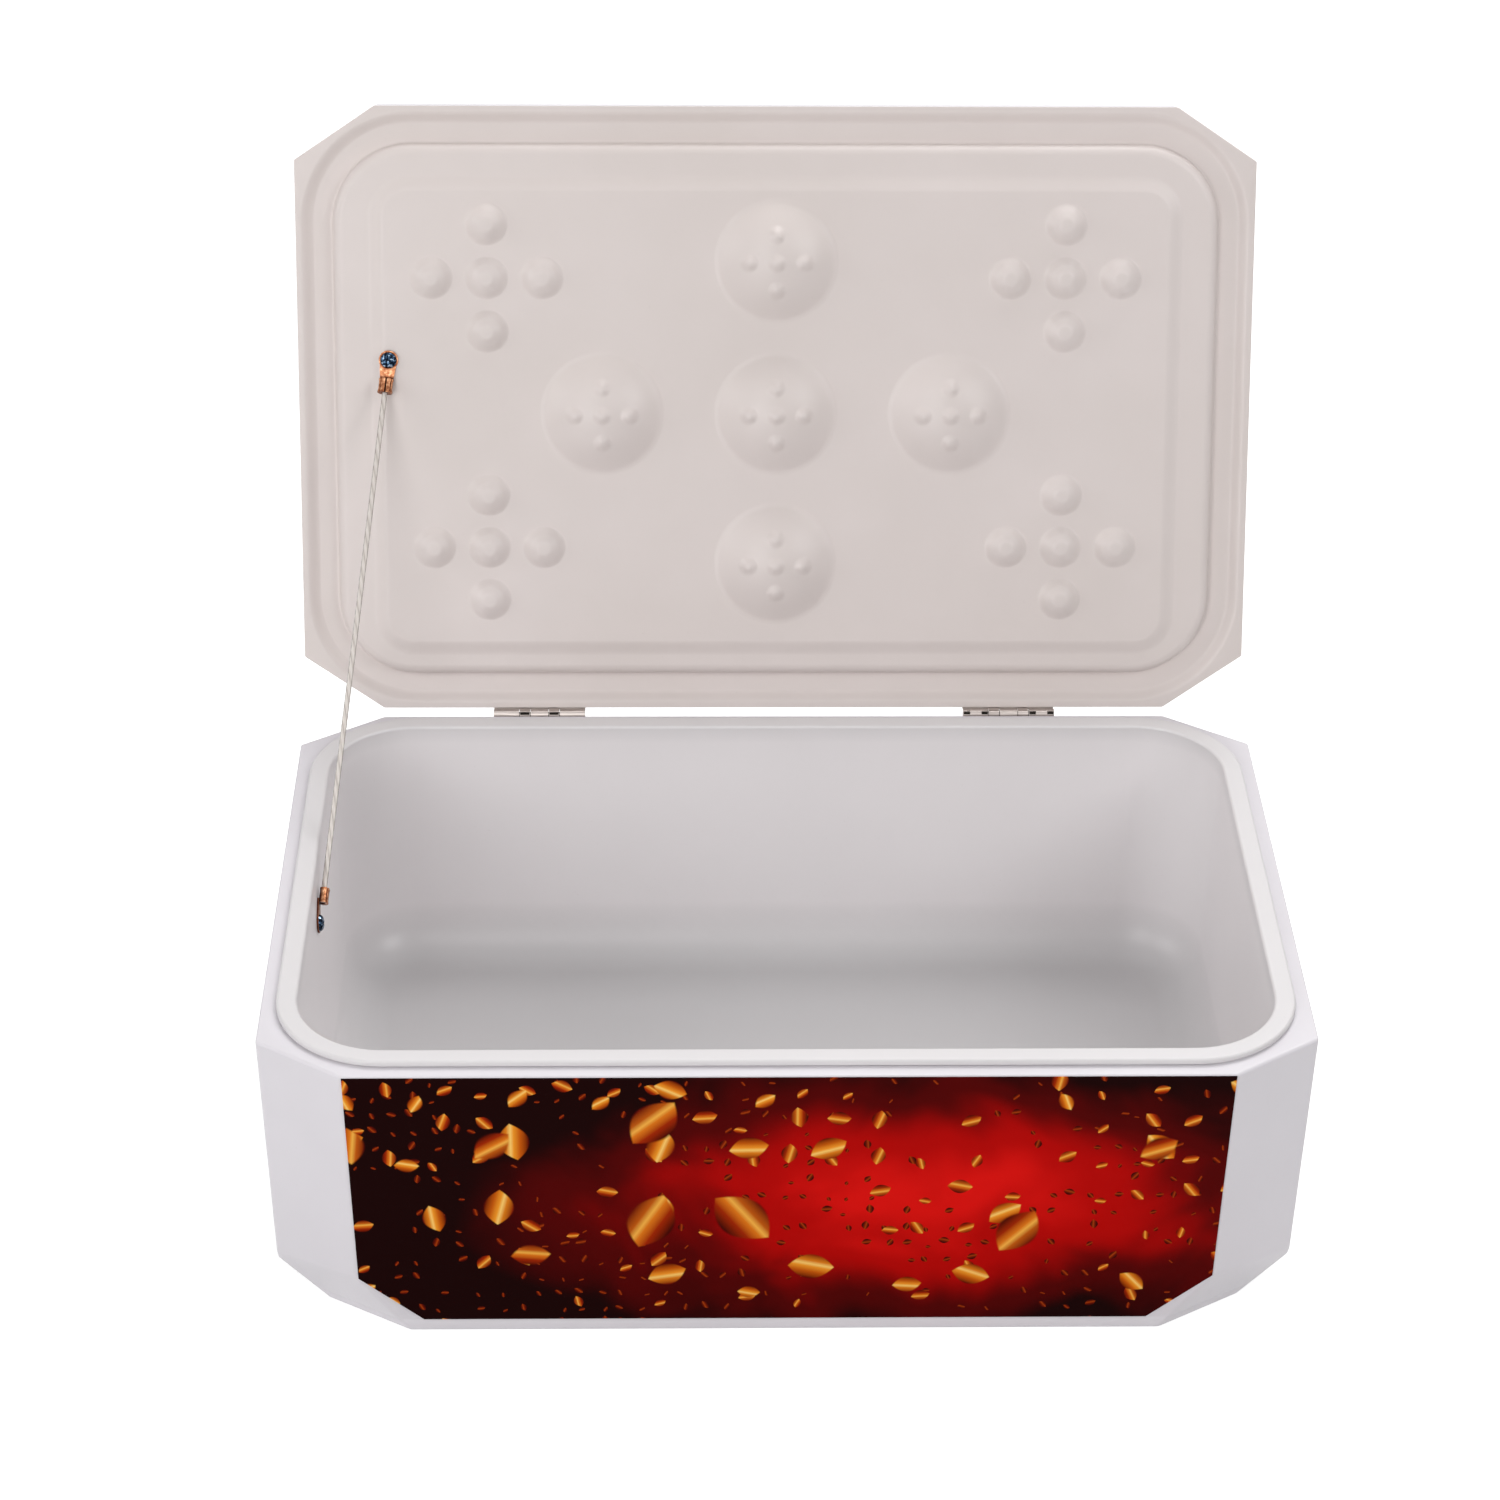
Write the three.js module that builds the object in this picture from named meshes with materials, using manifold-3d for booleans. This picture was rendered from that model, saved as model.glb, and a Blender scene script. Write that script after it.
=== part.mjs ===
// A hard-sided picnic cooler with a faceted body and a hinged, insulated lid.
// It stands open, with the lid leaning back on its wire lanyard.
// Millimetres, +Z up, the front face towards -Y, origin at the middle of the underside.

import * as THREE from 'three';
import { mergeVertices } from 'three/addons/utils/BufferGeometryUtils.js';
import Module from 'manifold-3d';

const wasm = await Module();
wasm.setup();

// Working allowances
const seatGap = 0.3; // between two pieces that rest on each other
const overrun = 5; // how far a cut runs past the face that it opens

// Outer shell of the body
const bodyLength = 720;
const bodyDepth = 457.2;
const rimHeight = 221; // flat rim of the shell above the ground
const cornerCutLength = 60; // each upright corner is cut by this along the length
const cornerCutDepth = 40; // and by this along the depth
const endLean = 4.4; // an end wall leans in by this from the rim down to its bevel
const cornerLean = 2.2; // a corner wall leans in by this from the rim down to the front bend
const frontBendHeight = 48; // the low corner facet starts here on the front and rear faces
const endBendHeight = 38; // and here on the end walls
const facetRun = 35.5; // the low corner facet cuts the front face by this down to the ground
const endBevelHeight = 31; // the end bevel starts here
const endBevelRun = 35.6; // and runs in by this down to the ground
const shellWall = 2.5;
const shellFlange = 3; // thickness of the rim

// Base tray that closes the body below and goes on its faceted form
const trayHeight = 10.2;
const trayWall = 3.5;
const trayFloor = 3;

// Printed panel on the front face
const panelThickness = 0.8;
const panelMargin = 0.8;
const panelCutRun = 44; // its low corners are cut by this, from the front bend down to its foot

// Inner liner, a tub whose lip stands on the rim
const rimBand = 10.5; // flat band of the rim that stays bare outside the lip
const lipWidth = 14.5;
const lipHeight = 5;
const lipEase = 2; // rounding of the lip's edges
const linerWall = 2.5;
const linerLean = 5; // a liner wall leans in by this from the lip down to its floor curve
const linerRadius = 62; // upright corners of the opening
const linerFloorHeight = 26; // inside floor above the ground
const floorRadius = 36; // curve between the liner's walls and floor

// Lid, drawn shut and then turned open about the hinge axis
const lidGap = 1.5; // between the rim and the shut lid
const lidHeight = 38;
const lidWall = 2.5;
const lidTopEase = 6; // bevel round the lid's top
const panSheet = 3;
const grooveMargin = 3.8; // the mouth of the lid's groove clears the lip by this
const grooveHeadroom = 1.2; // and its ceiling clears the lip by this
const plugClearance = 3; // between the lid's plug and the opening
const plugDrop = 7; // the plug reaches this far below the lid's edge
const plugEase = 4;
const plateauMarginLength = 32; // flat step round the raised middle, at its ends
const plateauMarginDepth = 28; // and at its front and rear
const plateauDrop = 4;
const plateauRadius = 25;
const plateauEase = 2;

// Domes on the lid's inside, in a cross, each with a cross of five pips
const domeDiameter = 84;
const domeRise = 16;
const domePlaceShares = [0.4367, 0.6634]; // of the raised middle's half length and half depth
const pipDiameter = 7.5;
const pipRise = 1.6;
const pipSink = 2;
const pipPitch = 21;
const pipOutlineShares = [[0, 1], [0.62, 0.86], [1, 0]]; // of its radius and rise

// Stepped bumps on the lid's inside, four crosses of five
const bumpDiameter = 32;
const bumpRise = 8;
const bumpSink = 1.5;
const bumpPitchLength = 41.5;
const bumpPitchDepth = 40;
const bumpPlaceShares = [0.7233, 0.591]; // middles of the crosses, as shares of the same
const bumpOutlineShares = [[0, 1], [0.5, 0.92], [0.64, 0.62], [0.86, 0.5], [1, 0]];

// Two butt hinges on the rear face
const openAngle = 109.9; // degrees from shut to open
const hingeOffset = 180.5; // middle of a hinge from the body's middle
const hingeLength = 70;
const knuckleRadius = 4.3;
const knuckleBore = 2.3; // radius
const knuckleClearance = 0.5; // between a knuckle and the rear face
const knuckleGap = 0.5; // between two knuckles
const knuckleShares = [0.28, 0.12, 0.2, 0.12, 0.28]; // of the hinge's length
const hingeDrop = 2.2; // the pin's axis lies this far below the rim
const pinRadius = 2;
const leafWidth = 29; // from the pin's axis to the leaf's edge
const leafThickness = 1.4;
const leafScrewOffset = 19; // from the pin's axis
const leafScrewPitch = 25;
const leafScrewRadius = 1.75;
const leafScrewHead = 3.4; // radius
const leafScrewGrip = 9; // length held in the backing block

// Backing blocks for the hinge screws, in the foam behind the rear face
const blockLength = 86;
const blockThickness = 12;
const blockHeight = 16;

// Wire lanyard that stops the lid, with a screwed lug at each end
const cableRadius = 2;
const cableStep = 12; // length of one faceted piece of the cable
const cableInset = 1; // the cable stops this far inside each barrel
const wallLugOffset = 3; // in front of the liner's middle
const wallLugDrop = 32; // below the rim
const lidLugInset = 8.8; // from the end of the raised middle
const lidLugOffset = 40.5; // in front of the lid's middle
const lugRadius = 7.3;
const lugSheet = 1.2;
const tongueLength = 14.5; // from the ring's middle to the barrel
const tongueShares = [0.9, 0.64]; // its half width at the ring and at the barrel, of the ring's radius
const barrelLength = 11;
const barrelFoot = 3.1; // from the bore's axis down to the barrel's flat underside
const lobeRadius = 3.2;
const lobeSpread = 2.2;
const lobeRise = 0.7;
const lugScrewRadius = 2.2;
const lugScrewHead = 6.1; // radius
const lugScrewHeadHeight = 3;
const lugScrewGrip = 9; // length held in the insert
const insertRadius = 4;
const insertLength = 12;

// Fineness of the round shapes
const cornerSteps = 7;
const easeSteps = 2;
const filletSteps = 4;
const domeSides = 20;
const domeSteps = 3;
const pipSides = 6;
const bumpSides = 10;
const roundSides = 16;
const screwSides = 10;
const cableSides = 8;
const headSteps = 3;

// Places worked out from the sizes
const quarterTurn = Math.PI / 2;
const halfLength = bodyLength / 2;
const halfDepth = bodyDepth / 2;
const openingHalfLength = halfLength - rimBand - lipWidth;
const openingHalfDepth = halfDepth - rimBand - lipWidth;
const lipTop = rimHeight + lipHeight;
const lipShoulder = lipTop - lipEase;
const floorCurveTop = linerFloorHeight + floorRadius;
const shellFoot = trayHeight + seatGap;
const lidLow = rimHeight + lidGap;
const lidTop = lidLow + lidHeight;
const flangeTop = lidLow + panSheet;
const grooveTop = lipTop + grooveHeadroom;
const grooveRoof = grooveTop + panSheet;
const plugLow = lidLow - plugDrop;
const plateauLow = plugLow - plateauDrop;
const plugHalfLength = openingHalfLength - plugClearance;
const plugHalfDepth = openingHalfDepth - plugClearance;
const plugRadius = linerRadius - plugClearance;
const plateauHalfLength = plugHalfLength - plateauMarginLength;
const plateauHalfDepth = plugHalfDepth - plateauMarginDepth;
const domeRadius = ((domeDiameter / 2) ** 2 + domeRise ** 2) / (2 * domeRise);
const hingeAxisDepth = halfDepth + knuckleClearance + knuckleRadius;
const hingeAxisHeight = rimHeight - hingeDrop;
const leafNear = halfDepth + seatGap - hingeAxisDepth; // measured from the pin's axis
const leafFar = leafNear + leafThickness;
const leafScrewPlaces = [-leafScrewPitch, 0, leafScrewPitch];
const sides = { left: -1, right: 1 };

// Finishes
const whitePlastic = finish(0xe9e6e8, 0.35, 0);
const greyLiner = finish(0xd2ced0, 0.3, 0);
const warmPlastic = finish(0xddd6d4, 0.4, 0);
const printedSheet = finish(0x7a0a08, 0.25, 0);
const foam = finish(0xe6d9a8, 0.9, 0);
const wood = finish(0xb98d5a, 0.8, 0);
const nylon = finish(0xf0eee6, 0.5, 0);
const stainless = finish(0xb4aaa5, 0.35, 0.9);
const zinc = finish(0x9fb0c0, 0.3, 0.9);
const copper = finish(0xc8824e, 0.35, 0.9);
const wire = finish(0xcfc9bd, 0.4, 0.5);

function finish(color, roughness, metalness) {
	return new THREE.MeshStandardMaterial({ color, roughness, metalness, flatShading: true });
}

// A closed geometry as a solid that can be joined and cut
function solidOf(geometry) {
	const bare = geometry.clone();
	bare.deleteAttribute('normal');
	bare.deleteAttribute('uv');
	const merged = mergeVertices(bare);
	const place = merged.getAttribute('position');
	const corners = merged.getIndex().array;
	const faces = [];
	let volume = 0;
	for (let i = 0; i < corners.length; i += 3) {
		const face = [corners[i], corners[i + 1], corners[i + 2]];
		if (new Set(face).size < face.length) continue;
		faces.push(...face);
		const [a, b, c] = face.map((corner) => new THREE.Vector3().fromBufferAttribute(place, corner));
		volume += a.dot(b.cross(c));
	}
	if (volume < 0) faces.reverse();
	return new wasm.Manifold(new wasm.Mesh({
		numProp: 3,
		vertProperties: new Float32Array(place.array),
		triVerts: new Uint32Array(faces),
	}));
}

function geometryOf(solid) {
	const { vertProperties, triVerts } = solid.getMesh();
	const geometry = new THREE.BufferGeometry();
	geometry.setAttribute('position', new THREE.BufferAttribute(vertProperties, 3));
	geometry.setIndex(new THREE.BufferAttribute(triVerts, 1));
	geometry.computeVertexNormals();
	return geometry;
}

function piece(name, solid, material) {
	const mesh = new THREE.Mesh(geometryOf(solid), material);
	mesh.name = name;
	return mesh;
}

function joined(solids) {
	return solids.reduce((whole, solid) => whole.add(solid));
}

function placed(geometry, frame) {
	return solidOf(geometry.clone().applyMatrix4(frame));
}

// A box between two corners
function box(low, high) {
	const size = high.map((value, axis) => Math.abs(value - low[axis]));
	const middle = high.map((value, axis) => (value + low[axis]) / 2);
	return new THREE.BoxGeometry(...size).translate(...middle);
}

// A shape turned about Z, from a profile of radii and heights
function turned(profile, sideCount) {
	const points = profile.map(([radius, height]) => new THREE.Vector2(radius, height));
	return new THREE.LatheGeometry(points, sideCount).rotateX(quarterTurn);
}

function rod(radius, low, high, sideCount) {
	return turned([[0, low], [radius, low], [radius, high], [0, high]], sideCount);
}

// A rod along X
function bar(radius, low, high) {
	return rod(radius, low, high, roundSides).rotateY(quarterTurn);
}

// A closed skin through rings of equally many points, lowest ring first
function loft(rings) {
	const count = rings[0].length;
	const faces = [];
	for (let level = 0; level + 1 < rings.length; level++) {
		for (let i = 0; i < count; i++) {
			const a = level * count + i;
			const b = level * count + (i + 1) % count;
			faces.push(a, b, b + count, a, b + count, a + count);
		}
	}
	const last = (rings.length - 1) * count;
	const foot = rings.length * count;
	const top = foot + 1;
	for (let i = 0; i < count; i++) {
		const next = (i + 1) % count;
		faces.push(foot, next, i, top, last + i, last + next);
	}
	const points = [...rings.flat(), middleOf(rings[0]), middleOf(rings.at(-1))];
	const geometry = new THREE.BufferGeometry();
	geometry.setAttribute('position', new THREE.Float32BufferAttribute(points.flat(), 3));
	geometry.setIndex(faces);
	return geometry;
}

function middleOf(ring) {
	return [0, 1, 2].map((axis) => ring.reduce((sum, point) => sum + point[axis], 0) / ring.length);
}

// A rectangle with round corners, as points at one height
function roundedRing(ringHalfLength, ringHalfDepth, radius, height) {
	const ring = [];
	for (let corner = 0; corner < 4; corner++) {
		const signX = corner === 0 || corner === 3 ? 1 : -1;
		const signY = corner < 2 ? 1 : -1;
		for (let step = 0; step <= cornerSteps; step++) {
			const turn = (corner + step / cornerSteps) * quarterTurn;
			ring.push([
				signX * (ringHalfLength - radius) + radius * Math.cos(turn),
				signY * (ringHalfDepth - radius) + radius * Math.sin(turn),
				height,
			]);
		}
	}
	return ring;
}

// A rounded block whose sides step in by an inset at each height, lowest level first
function roundedStack(blockHalfLength, blockHalfDepth, radius, levels) {
	const tightest = radius / 8;
	return solidOf(loft(levels.map(({ inset, height }) => roundedRing(
		blockHalfLength - inset,
		blockHalfDepth - inset,
		Math.max(radius - inset, tightest),
		height,
	))));
}

// Levels of a rounded edge: the side turns in as it reaches the height
function easedEdge(inset, height, ease, upwards) {
	const levels = [];
	for (let step = 0; step <= easeSteps; step++) {
		const turn = (step / easeSteps) * quarterTurn;
		levels.push({
			inset: inset + ease * (1 - Math.cos(turn)),
			height: height - upwards * ease * (1 - Math.sin(turn)),
		});
	}
	return upwards > 0 ? levels : levels.reverse();
}

// A rectangle with cut corners, moved in by a wall, as points at one height
function cutRing(wall, ringHalfLength, ringHalfDepth, cutLength, cutDepth, height) {
	const shrink = wall * (cutLength + cutDepth - Math.hypot(cutLength, cutDepth));
	const [x, y] = [ringHalfLength - wall, ringHalfDepth - wall];
	const innerX = x - cutLength + shrink / cutDepth;
	const innerY = y - cutDepth + shrink / cutLength;
	return [
		[x, innerY, height], [innerX, y, height],
		[-innerX, y, height], [-x, innerY, height],
		[-x, -innerY, height], [-innerX, -y, height],
		[innerX, -y, height], [x, -innerY, height],
	];
}

// The slanted faces of the body, as planes that face out
function bodyFacets() {
	const slant = Math.hypot(cornerCutLength, cornerCutDepth);
	const rimFront = new THREE.Vector3(halfLength - cornerCutLength, halfDepth, rimHeight);
	const rimEnd = new THREE.Vector3(halfLength, halfDepth - cornerCutDepth, rimHeight);
	const rimMiddle = new THREE.Vector3(halfLength, 0, rimHeight);
	const leaned = new THREE.Vector3(
		rimFront.x - cornerLean * cornerCutDepth / slant,
		rimFront.y - cornerLean * cornerCutLength / slant,
		frontBendHeight,
	);
	const bevelTop = new THREE.Vector3(halfLength - endLean, 0, endBevelHeight);
	const bevelFoot = new THREE.Vector3(bevelTop.x - endBevelRun, 0, 0);
	const bevelCorner = new THREE.Vector3(bevelFoot.x, halfDepth, 0);
	const endWall = outwardPlane(rimEnd, rimMiddle, bevelTop);
	const endBevel = outwardPlane(bevelTop, bevelFoot, bevelCorner);
	const cornerWall = outwardPlane(rimFront, rimEnd, leaned);
	const frontBend = pointOn(cornerWall, 'x', new THREE.Vector3(0, halfDepth, frontBendHeight));
	const endAtBend = pointOn(endWall, 'x', new THREE.Vector3(0, 0, endBendHeight));
	const endBend = pointOn(cornerWall, 'y', endAtBend);
	const facetFoot = new THREE.Vector3(frontBend.x - facetRun, halfDepth, 0);
	const lowFacet = outwardPlane(frontBend, endBend, facetFoot);
	const planes = [];
	for (const signX of [-1, 1]) {
		planes.push(mirrored(endWall, signX, 1), mirrored(endBevel, signX, 1));
		for (const signY of [-1, 1]) {
			planes.push(mirrored(cornerWall, signX, signY), mirrored(lowFacet, signX, signY));
		}
	}
	return { planes, rimFront, frontBend };
}

function outwardPlane(a, b, c) {
	const plane = new THREE.Plane().setFromCoplanarPoints(a, b, c);
	const inside = new THREE.Vector3(0, 0, rimHeight / 2);
	return plane.distanceToPoint(inside) > 0 ? plane.negate() : plane;
}

function mirrored(plane, signX, signY) {
	const { x, y, z } = plane.normal;
	return new THREE.Plane(new THREE.Vector3(x * signX, y * signY, z), plane.constant);
}

// A point moved along one axis until it lies on a plane
function pointOn(plane, axis, point) {
	const moved = point.clone();
	moved[axis] -= plane.distanceToPoint(point) / plane.normal[axis];
	return moved;
}

// What lies outside a plane that is moved in, as a large block to cut away
function beyond(plane, inset) {
	const side = 2 * (bodyLength + bodyDepth);
	const facing = new THREE.Quaternion().setFromUnitVectors(new THREE.Vector3(0, 0, 1), plane.normal);
	const foot = plane.normal.clone().multiplyScalar(-plane.constant - inset);
	const block = new THREE.BoxGeometry(side, side, side).translate(0, 0, side / 2);
	return solidOf(block.applyQuaternion(facing).translate(foot.x, foot.y, foot.z));
}

// The body's faceted form moved in by a wall, between two heights
function bodyBlock(inset, low, high) {
	const block = solidOf(box(
		[-halfLength + inset, -halfDepth + inset, low],
		[halfLength - inset, halfDepth - inset, high],
	));
	return bodyFacets().planes.reduce((solid, plane) => solid.subtract(beyond(plane, inset)), block);
}

function lidBlock(inset, low, high, ease) {
	const ring = (wall, height) => cutRing(
		wall, halfLength, halfDepth, cornerCutLength, cornerCutDepth, height);
	const rings = [ring(inset, low), ring(inset, high - ease)];
	if (ease > 0) rings.push(ring(inset + ease, high));
	return solidOf(loft(rings));
}

// How far a liner wall stands in from the opening at a height
function linerInset(height) {
	return linerLean * (lipShoulder - height) / (lipShoulder - floorCurveTop);
}

// Levels of the liner's floor curve, moved out by a wall
function floorCurve(grow) {
	const fillet = floorRadius + grow;
	const levels = [];
	for (let step = 0; step <= filletSteps; step++) {
		const turn = (step / filletSteps) * quarterTurn;
		levels.push({
			inset: linerLean + floorRadius - fillet * Math.sin(turn),
			height: floorCurveTop - fillet * Math.cos(turn),
		});
	}
	return levels;
}

function openingStack(levels) {
	return roundedStack(openingHalfLength, openingHalfDepth, linerRadius, levels);
}

// The liner's inside form, moved out by a wall, up to a height
function linerBlock(grow, high) {
	return openingStack([...floorCurve(grow), { inset: linerInset(high) - grow, height: high }]);
}

// Places of the lanyard: the lid's ones are on the shut lid
const opened = new THREE.Matrix4()
	.makeTranslation(0, hingeAxisDepth, hingeAxisHeight)
	.multiply(new THREE.Matrix4().makeRotationX(-THREE.MathUtils.degToRad(openAngle)))
	.multiply(new THREE.Matrix4().makeTranslation(0, -hingeAxisDepth, -hingeAxisHeight));
const shut = opened.clone().invert();
const wallLugHeight = rimHeight - wallLugDrop;
const wallSpot = new THREE.Vector3(
	linerInset(wallLugHeight) - openingHalfLength, -wallLugOffset, wallLugHeight);
const wallNormal = new THREE.Vector3(lipShoulder - floorCurveTop, 0, linerLean);
const lidSpot = new THREE.Vector3(lidLugInset - plateauHalfLength, -lidLugOffset, plateauLow);
const lidNormal = new THREE.Vector3(0, 0, -1);
const wallFrame = frameOn(wallSpot, wallNormal, lidSpot.clone().applyMatrix4(opened));
const lidFrame = frameOn(lidSpot, lidNormal, wallSpot.clone().applyMatrix4(shut));
const barrelStart = new THREE.Vector3(tongueLength, 0, seatGap + barrelFoot);
const wallBarrel = barrelStart.clone().applyMatrix4(wallFrame);
const lidBarrel = barrelStart.clone().applyMatrix4(lidFrame).applyMatrix4(opened);
const lugScrewSeat = seatGap + lugSheet + seatGap; // the head's underside above the surface

// A frame on a surface, with Z out of it and X along it towards a point
function frameOn(spot, normal, target) {
	const out = normal.clone().normalize();
	const along = target.clone().sub(spot).projectOnPlane(out).normalize();
	const across = out.clone().cross(along);
	return new THREE.Matrix4().makeBasis(along, across, out).setPosition(spot);
}

// Pieces of the body
function outerShell() {
	const mouth = openingStack([rimHeight - shellFlange - overrun, rimHeight + overrun]
		.map((height) => ({ inset: -linerWall - seatGap, height })));
	return bodyBlock(0, shellFoot, rimHeight)
		.subtract(bodyBlock(shellWall, shellFoot - overrun, rimHeight - shellFlange))
		.subtract(mouth)
		.subtract(leafScrewHoles(-1));
}

function baseTray() {
	return bodyBlock(0, 0, trayHeight).subtract(bodyBlock(trayWall, trayFloor, trayHeight + overrun));
}

function innerLiner() {
	const lip = openingStack([
		{ inset: -lipWidth, height: rimHeight + seatGap },
		...easedEdge(-lipWidth, lipTop, lipEase, 1),
	]);
	const flare = easedEdge(0, lipTop, lipEase, 1).map(({ inset, height }) => ({ inset: -inset, height }));
	const inside = openingStack([
		...floorCurve(0),
		...flare,
		{ inset: -lipEase, height: lipTop + overrun },
	]);
	return lip
		.add(linerBlock(linerWall, rimHeight + lipHeight / 2))
		.subtract(inside)
		.subtract(placed(lugScrewHole(), wallFrame));
}

function baseFoam() {
	return bodyBlock(trayWall + seatGap, trayFloor + seatGap, shellFoot + overrun)
		.add(bodyBlock(shellWall + seatGap, shellFoot, rimHeight - shellFlange - seatGap))
		.subtract(linerBlock(linerWall + seatGap, rimHeight))
		.subtract(joined(Object.values(sides).map((side) => solidOf(hingeBlockForm(side, -1, seatGap)))))
		.subtract(placed(insertForm(linerWall, seatGap), wallFrame));
}

function frontPanel() {
	const { rimFront, frontBend } = bodyFacets();
	const rightSide = [
		[frontBend.x - panelCutRun - panelMargin, shellFoot + panelMargin],
		[frontBend.x - panelMargin, frontBendHeight],
		[rimFront.x - panelMargin, rimHeight - panelMargin],
	];
	const leftSide = rightSide.map(([x, z]) => [-x, z]).reverse();
	const outline = new THREE.Shape([...rightSide, ...leftSide].map(([x, z]) => new THREE.Vector2(x, z)));
	const sheet = new THREE.ExtrudeGeometry(outline, { depth: panelThickness, bevelEnabled: false });
	return solidOf(sheet.rotateX(quarterTurn).translate(0, -halfDepth, 0));
}

// Pieces of the lid, as it lies when shut
function lidCover() {
	return lidBlock(0, flangeTop + seatGap, lidTop, lidTopEase)
		.subtract(lidBlock(lidWall, flangeTop - overrun, lidTop - lidWall, lidTopEase))
		.subtract(leafScrewHoles(1));
}

// The raised back of the groove, moved out by a wall
function grooveBack(grow) {
	return openingStack([
		{ inset: -lipWidth - grooveMargin - grow, height: lidLow },
		{ inset: -lipWidth - grow, height: grooveTop + grow },
	]);
}

function plugStack(inset, low, high) {
	return roundedStack(plugHalfLength, plugHalfDepth, plugRadius, [
		...easedEdge(inset, low, plugEase, -1),
		{ inset, height: high },
	]);
}

function plateauStack(inset, low, high) {
	return roundedStack(plateauHalfLength, plateauHalfDepth, plateauRadius, [
		...easedEdge(inset, low, plateauEase, -1),
		{ inset, height: high },
	]);
}

function lidPan() {
	const groove = grooveBack(0).subtract(plugStack(0, plugLow - overrun, grooveRoof));
	const reliefs = [...domes(), ...bumps()];
	return lidBlock(0, lidLow, flangeTop, 0)
		.add(grooveBack(panSheet))
		.add(plugStack(0, plugLow, flangeTop))
		.add(plateauStack(0, plateauLow, flangeTop))
		.subtract(groove)
		.subtract(plugStack(panSheet, plugLow + panSheet, grooveRoof + overrun))
		.subtract(plateauStack(panSheet, plateauLow + panSheet, grooveRoof + overrun))
		.add(joined(reliefs))
		.subtract(joined(domePlaces().map(domeHollow)))
		.subtract(placed(lugScrewHole(), lidFrame));
}

function lidFoam() {
	const wall = panSheet + seatGap;
	return lidBlock(lidWall + seatGap, flangeTop + seatGap, lidTop - lidWall - seatGap, lidTopEase)
		.subtract(grooveBack(wall))
		.add(plugStack(wall, plugLow + wall, grooveRoof + seatGap + overrun))
		.add(plateauStack(wall, plateauLow + wall, grooveRoof + seatGap + overrun))
		.subtract(joined(domePlaces().map(domeHollow)))
		.subtract(joined(Object.values(sides).map((side) => solidOf(hingeBlockForm(side, 1, seatGap)))))
		.subtract(placed(insertForm(panSheet, seatGap), lidFrame));
}

// The middle of a cross and its four arms
function cross(middleX, middleY, pitchX, pitchY) {
	const arms = [[0, 0], [-pitchX, 0], [pitchX, 0], [0, -pitchY], [0, pitchY]];
	return arms.map(([x, y]) => [middleX + x, middleY + y]);
}

function domePlaces() {
	const [shareX, shareY] = domePlaceShares;
	return cross(0, 0, shareX * plateauHalfLength, shareY * plateauHalfDepth);
}

// A hanging cap of the dome's ball, from its lowest point up to a height above the plateau
function domeCap(inset, high) {
	const radius = domeRadius - inset;
	const ballMiddle = domeRadius - domeRise;
	const brim = Math.acos((ballMiddle - inset) / radius);
	const profile = [];
	for (let step = 0; step <= domeSteps; step++) {
		const turn = (step / domeSteps) * brim;
		profile.push([radius * Math.sin(turn), ballMiddle - radius * Math.cos(turn)]);
	}
	profile[0][0] = 0;
	return turned([...profile, [radius * Math.sin(brim), high], [0, high]], domeSides);
}

function domes() {
	const cap = domeCap(0, panSheet / 2);
	const solids = [];
	for (const [x, y] of domePlaces()) {
		solids.push(solidOf(cap.clone().translate(x, y, plateauLow)));
		for (const [pipX, pipY] of cross(0, 0, pipPitch, pipPitch)) {
			solids.push(solidOf(pip(pipX, pipY).translate(x, y, plateauLow)));
		}
	}
	return solids;
}

// A pip square to the dome's skin at a place on it
function pip(x, y) {
	const reach = Math.hypot(x, y);
	const out = new THREE.Vector3(x, y, -Math.sqrt(domeRadius ** 2 - reach ** 2)).normalize();
	const facing = new THREE.Quaternion().setFromUnitVectors(new THREE.Vector3(0, 0, 1), out);
	const foot = out.multiplyScalar(domeRadius).add(new THREE.Vector3(0, 0, domeRadius - domeRise));
	return button(pipDiameter / 2, pipRise, pipSink, pipOutlineShares, pipSides)
		.applyQuaternion(facing)
		.translate(foot.x, foot.y, foot.z);
}

// A turned button: an outline of shares above the surface, and a root sunk below it
function button(radius, rise, sink, shares, sideCount) {
	const outline = shares.map(([across, up]) => [across * radius, up * rise]);
	return turned([...outline, [radius, -sink], [0, -sink]], sideCount);
}

function domeHollow([x, y]) {
	return solidOf(domeCap(panSheet, panSheet + overrun).translate(x, y, plateauLow));
}

function bumps() {
	const form = button(bumpDiameter / 2, bumpRise, bumpSink, bumpOutlineShares, bumpSides)
		.rotateX(2 * quarterTurn);
	const [middleX, middleY] = [
		bumpPlaceShares[0] * plateauHalfLength, bumpPlaceShares[1] * plateauHalfDepth];
	const solids = [];
	for (const signX of [-1, 1]) {
		for (const signY of [-1, 1]) {
			const group = cross(signX * middleX, signY * middleY, bumpPitchLength, bumpPitchDepth);
			solids.push(...group.map(([x, y]) => solidOf(form.clone().translate(x, y, plateauLow))));
		}
	}
	return solids;
}

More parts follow.
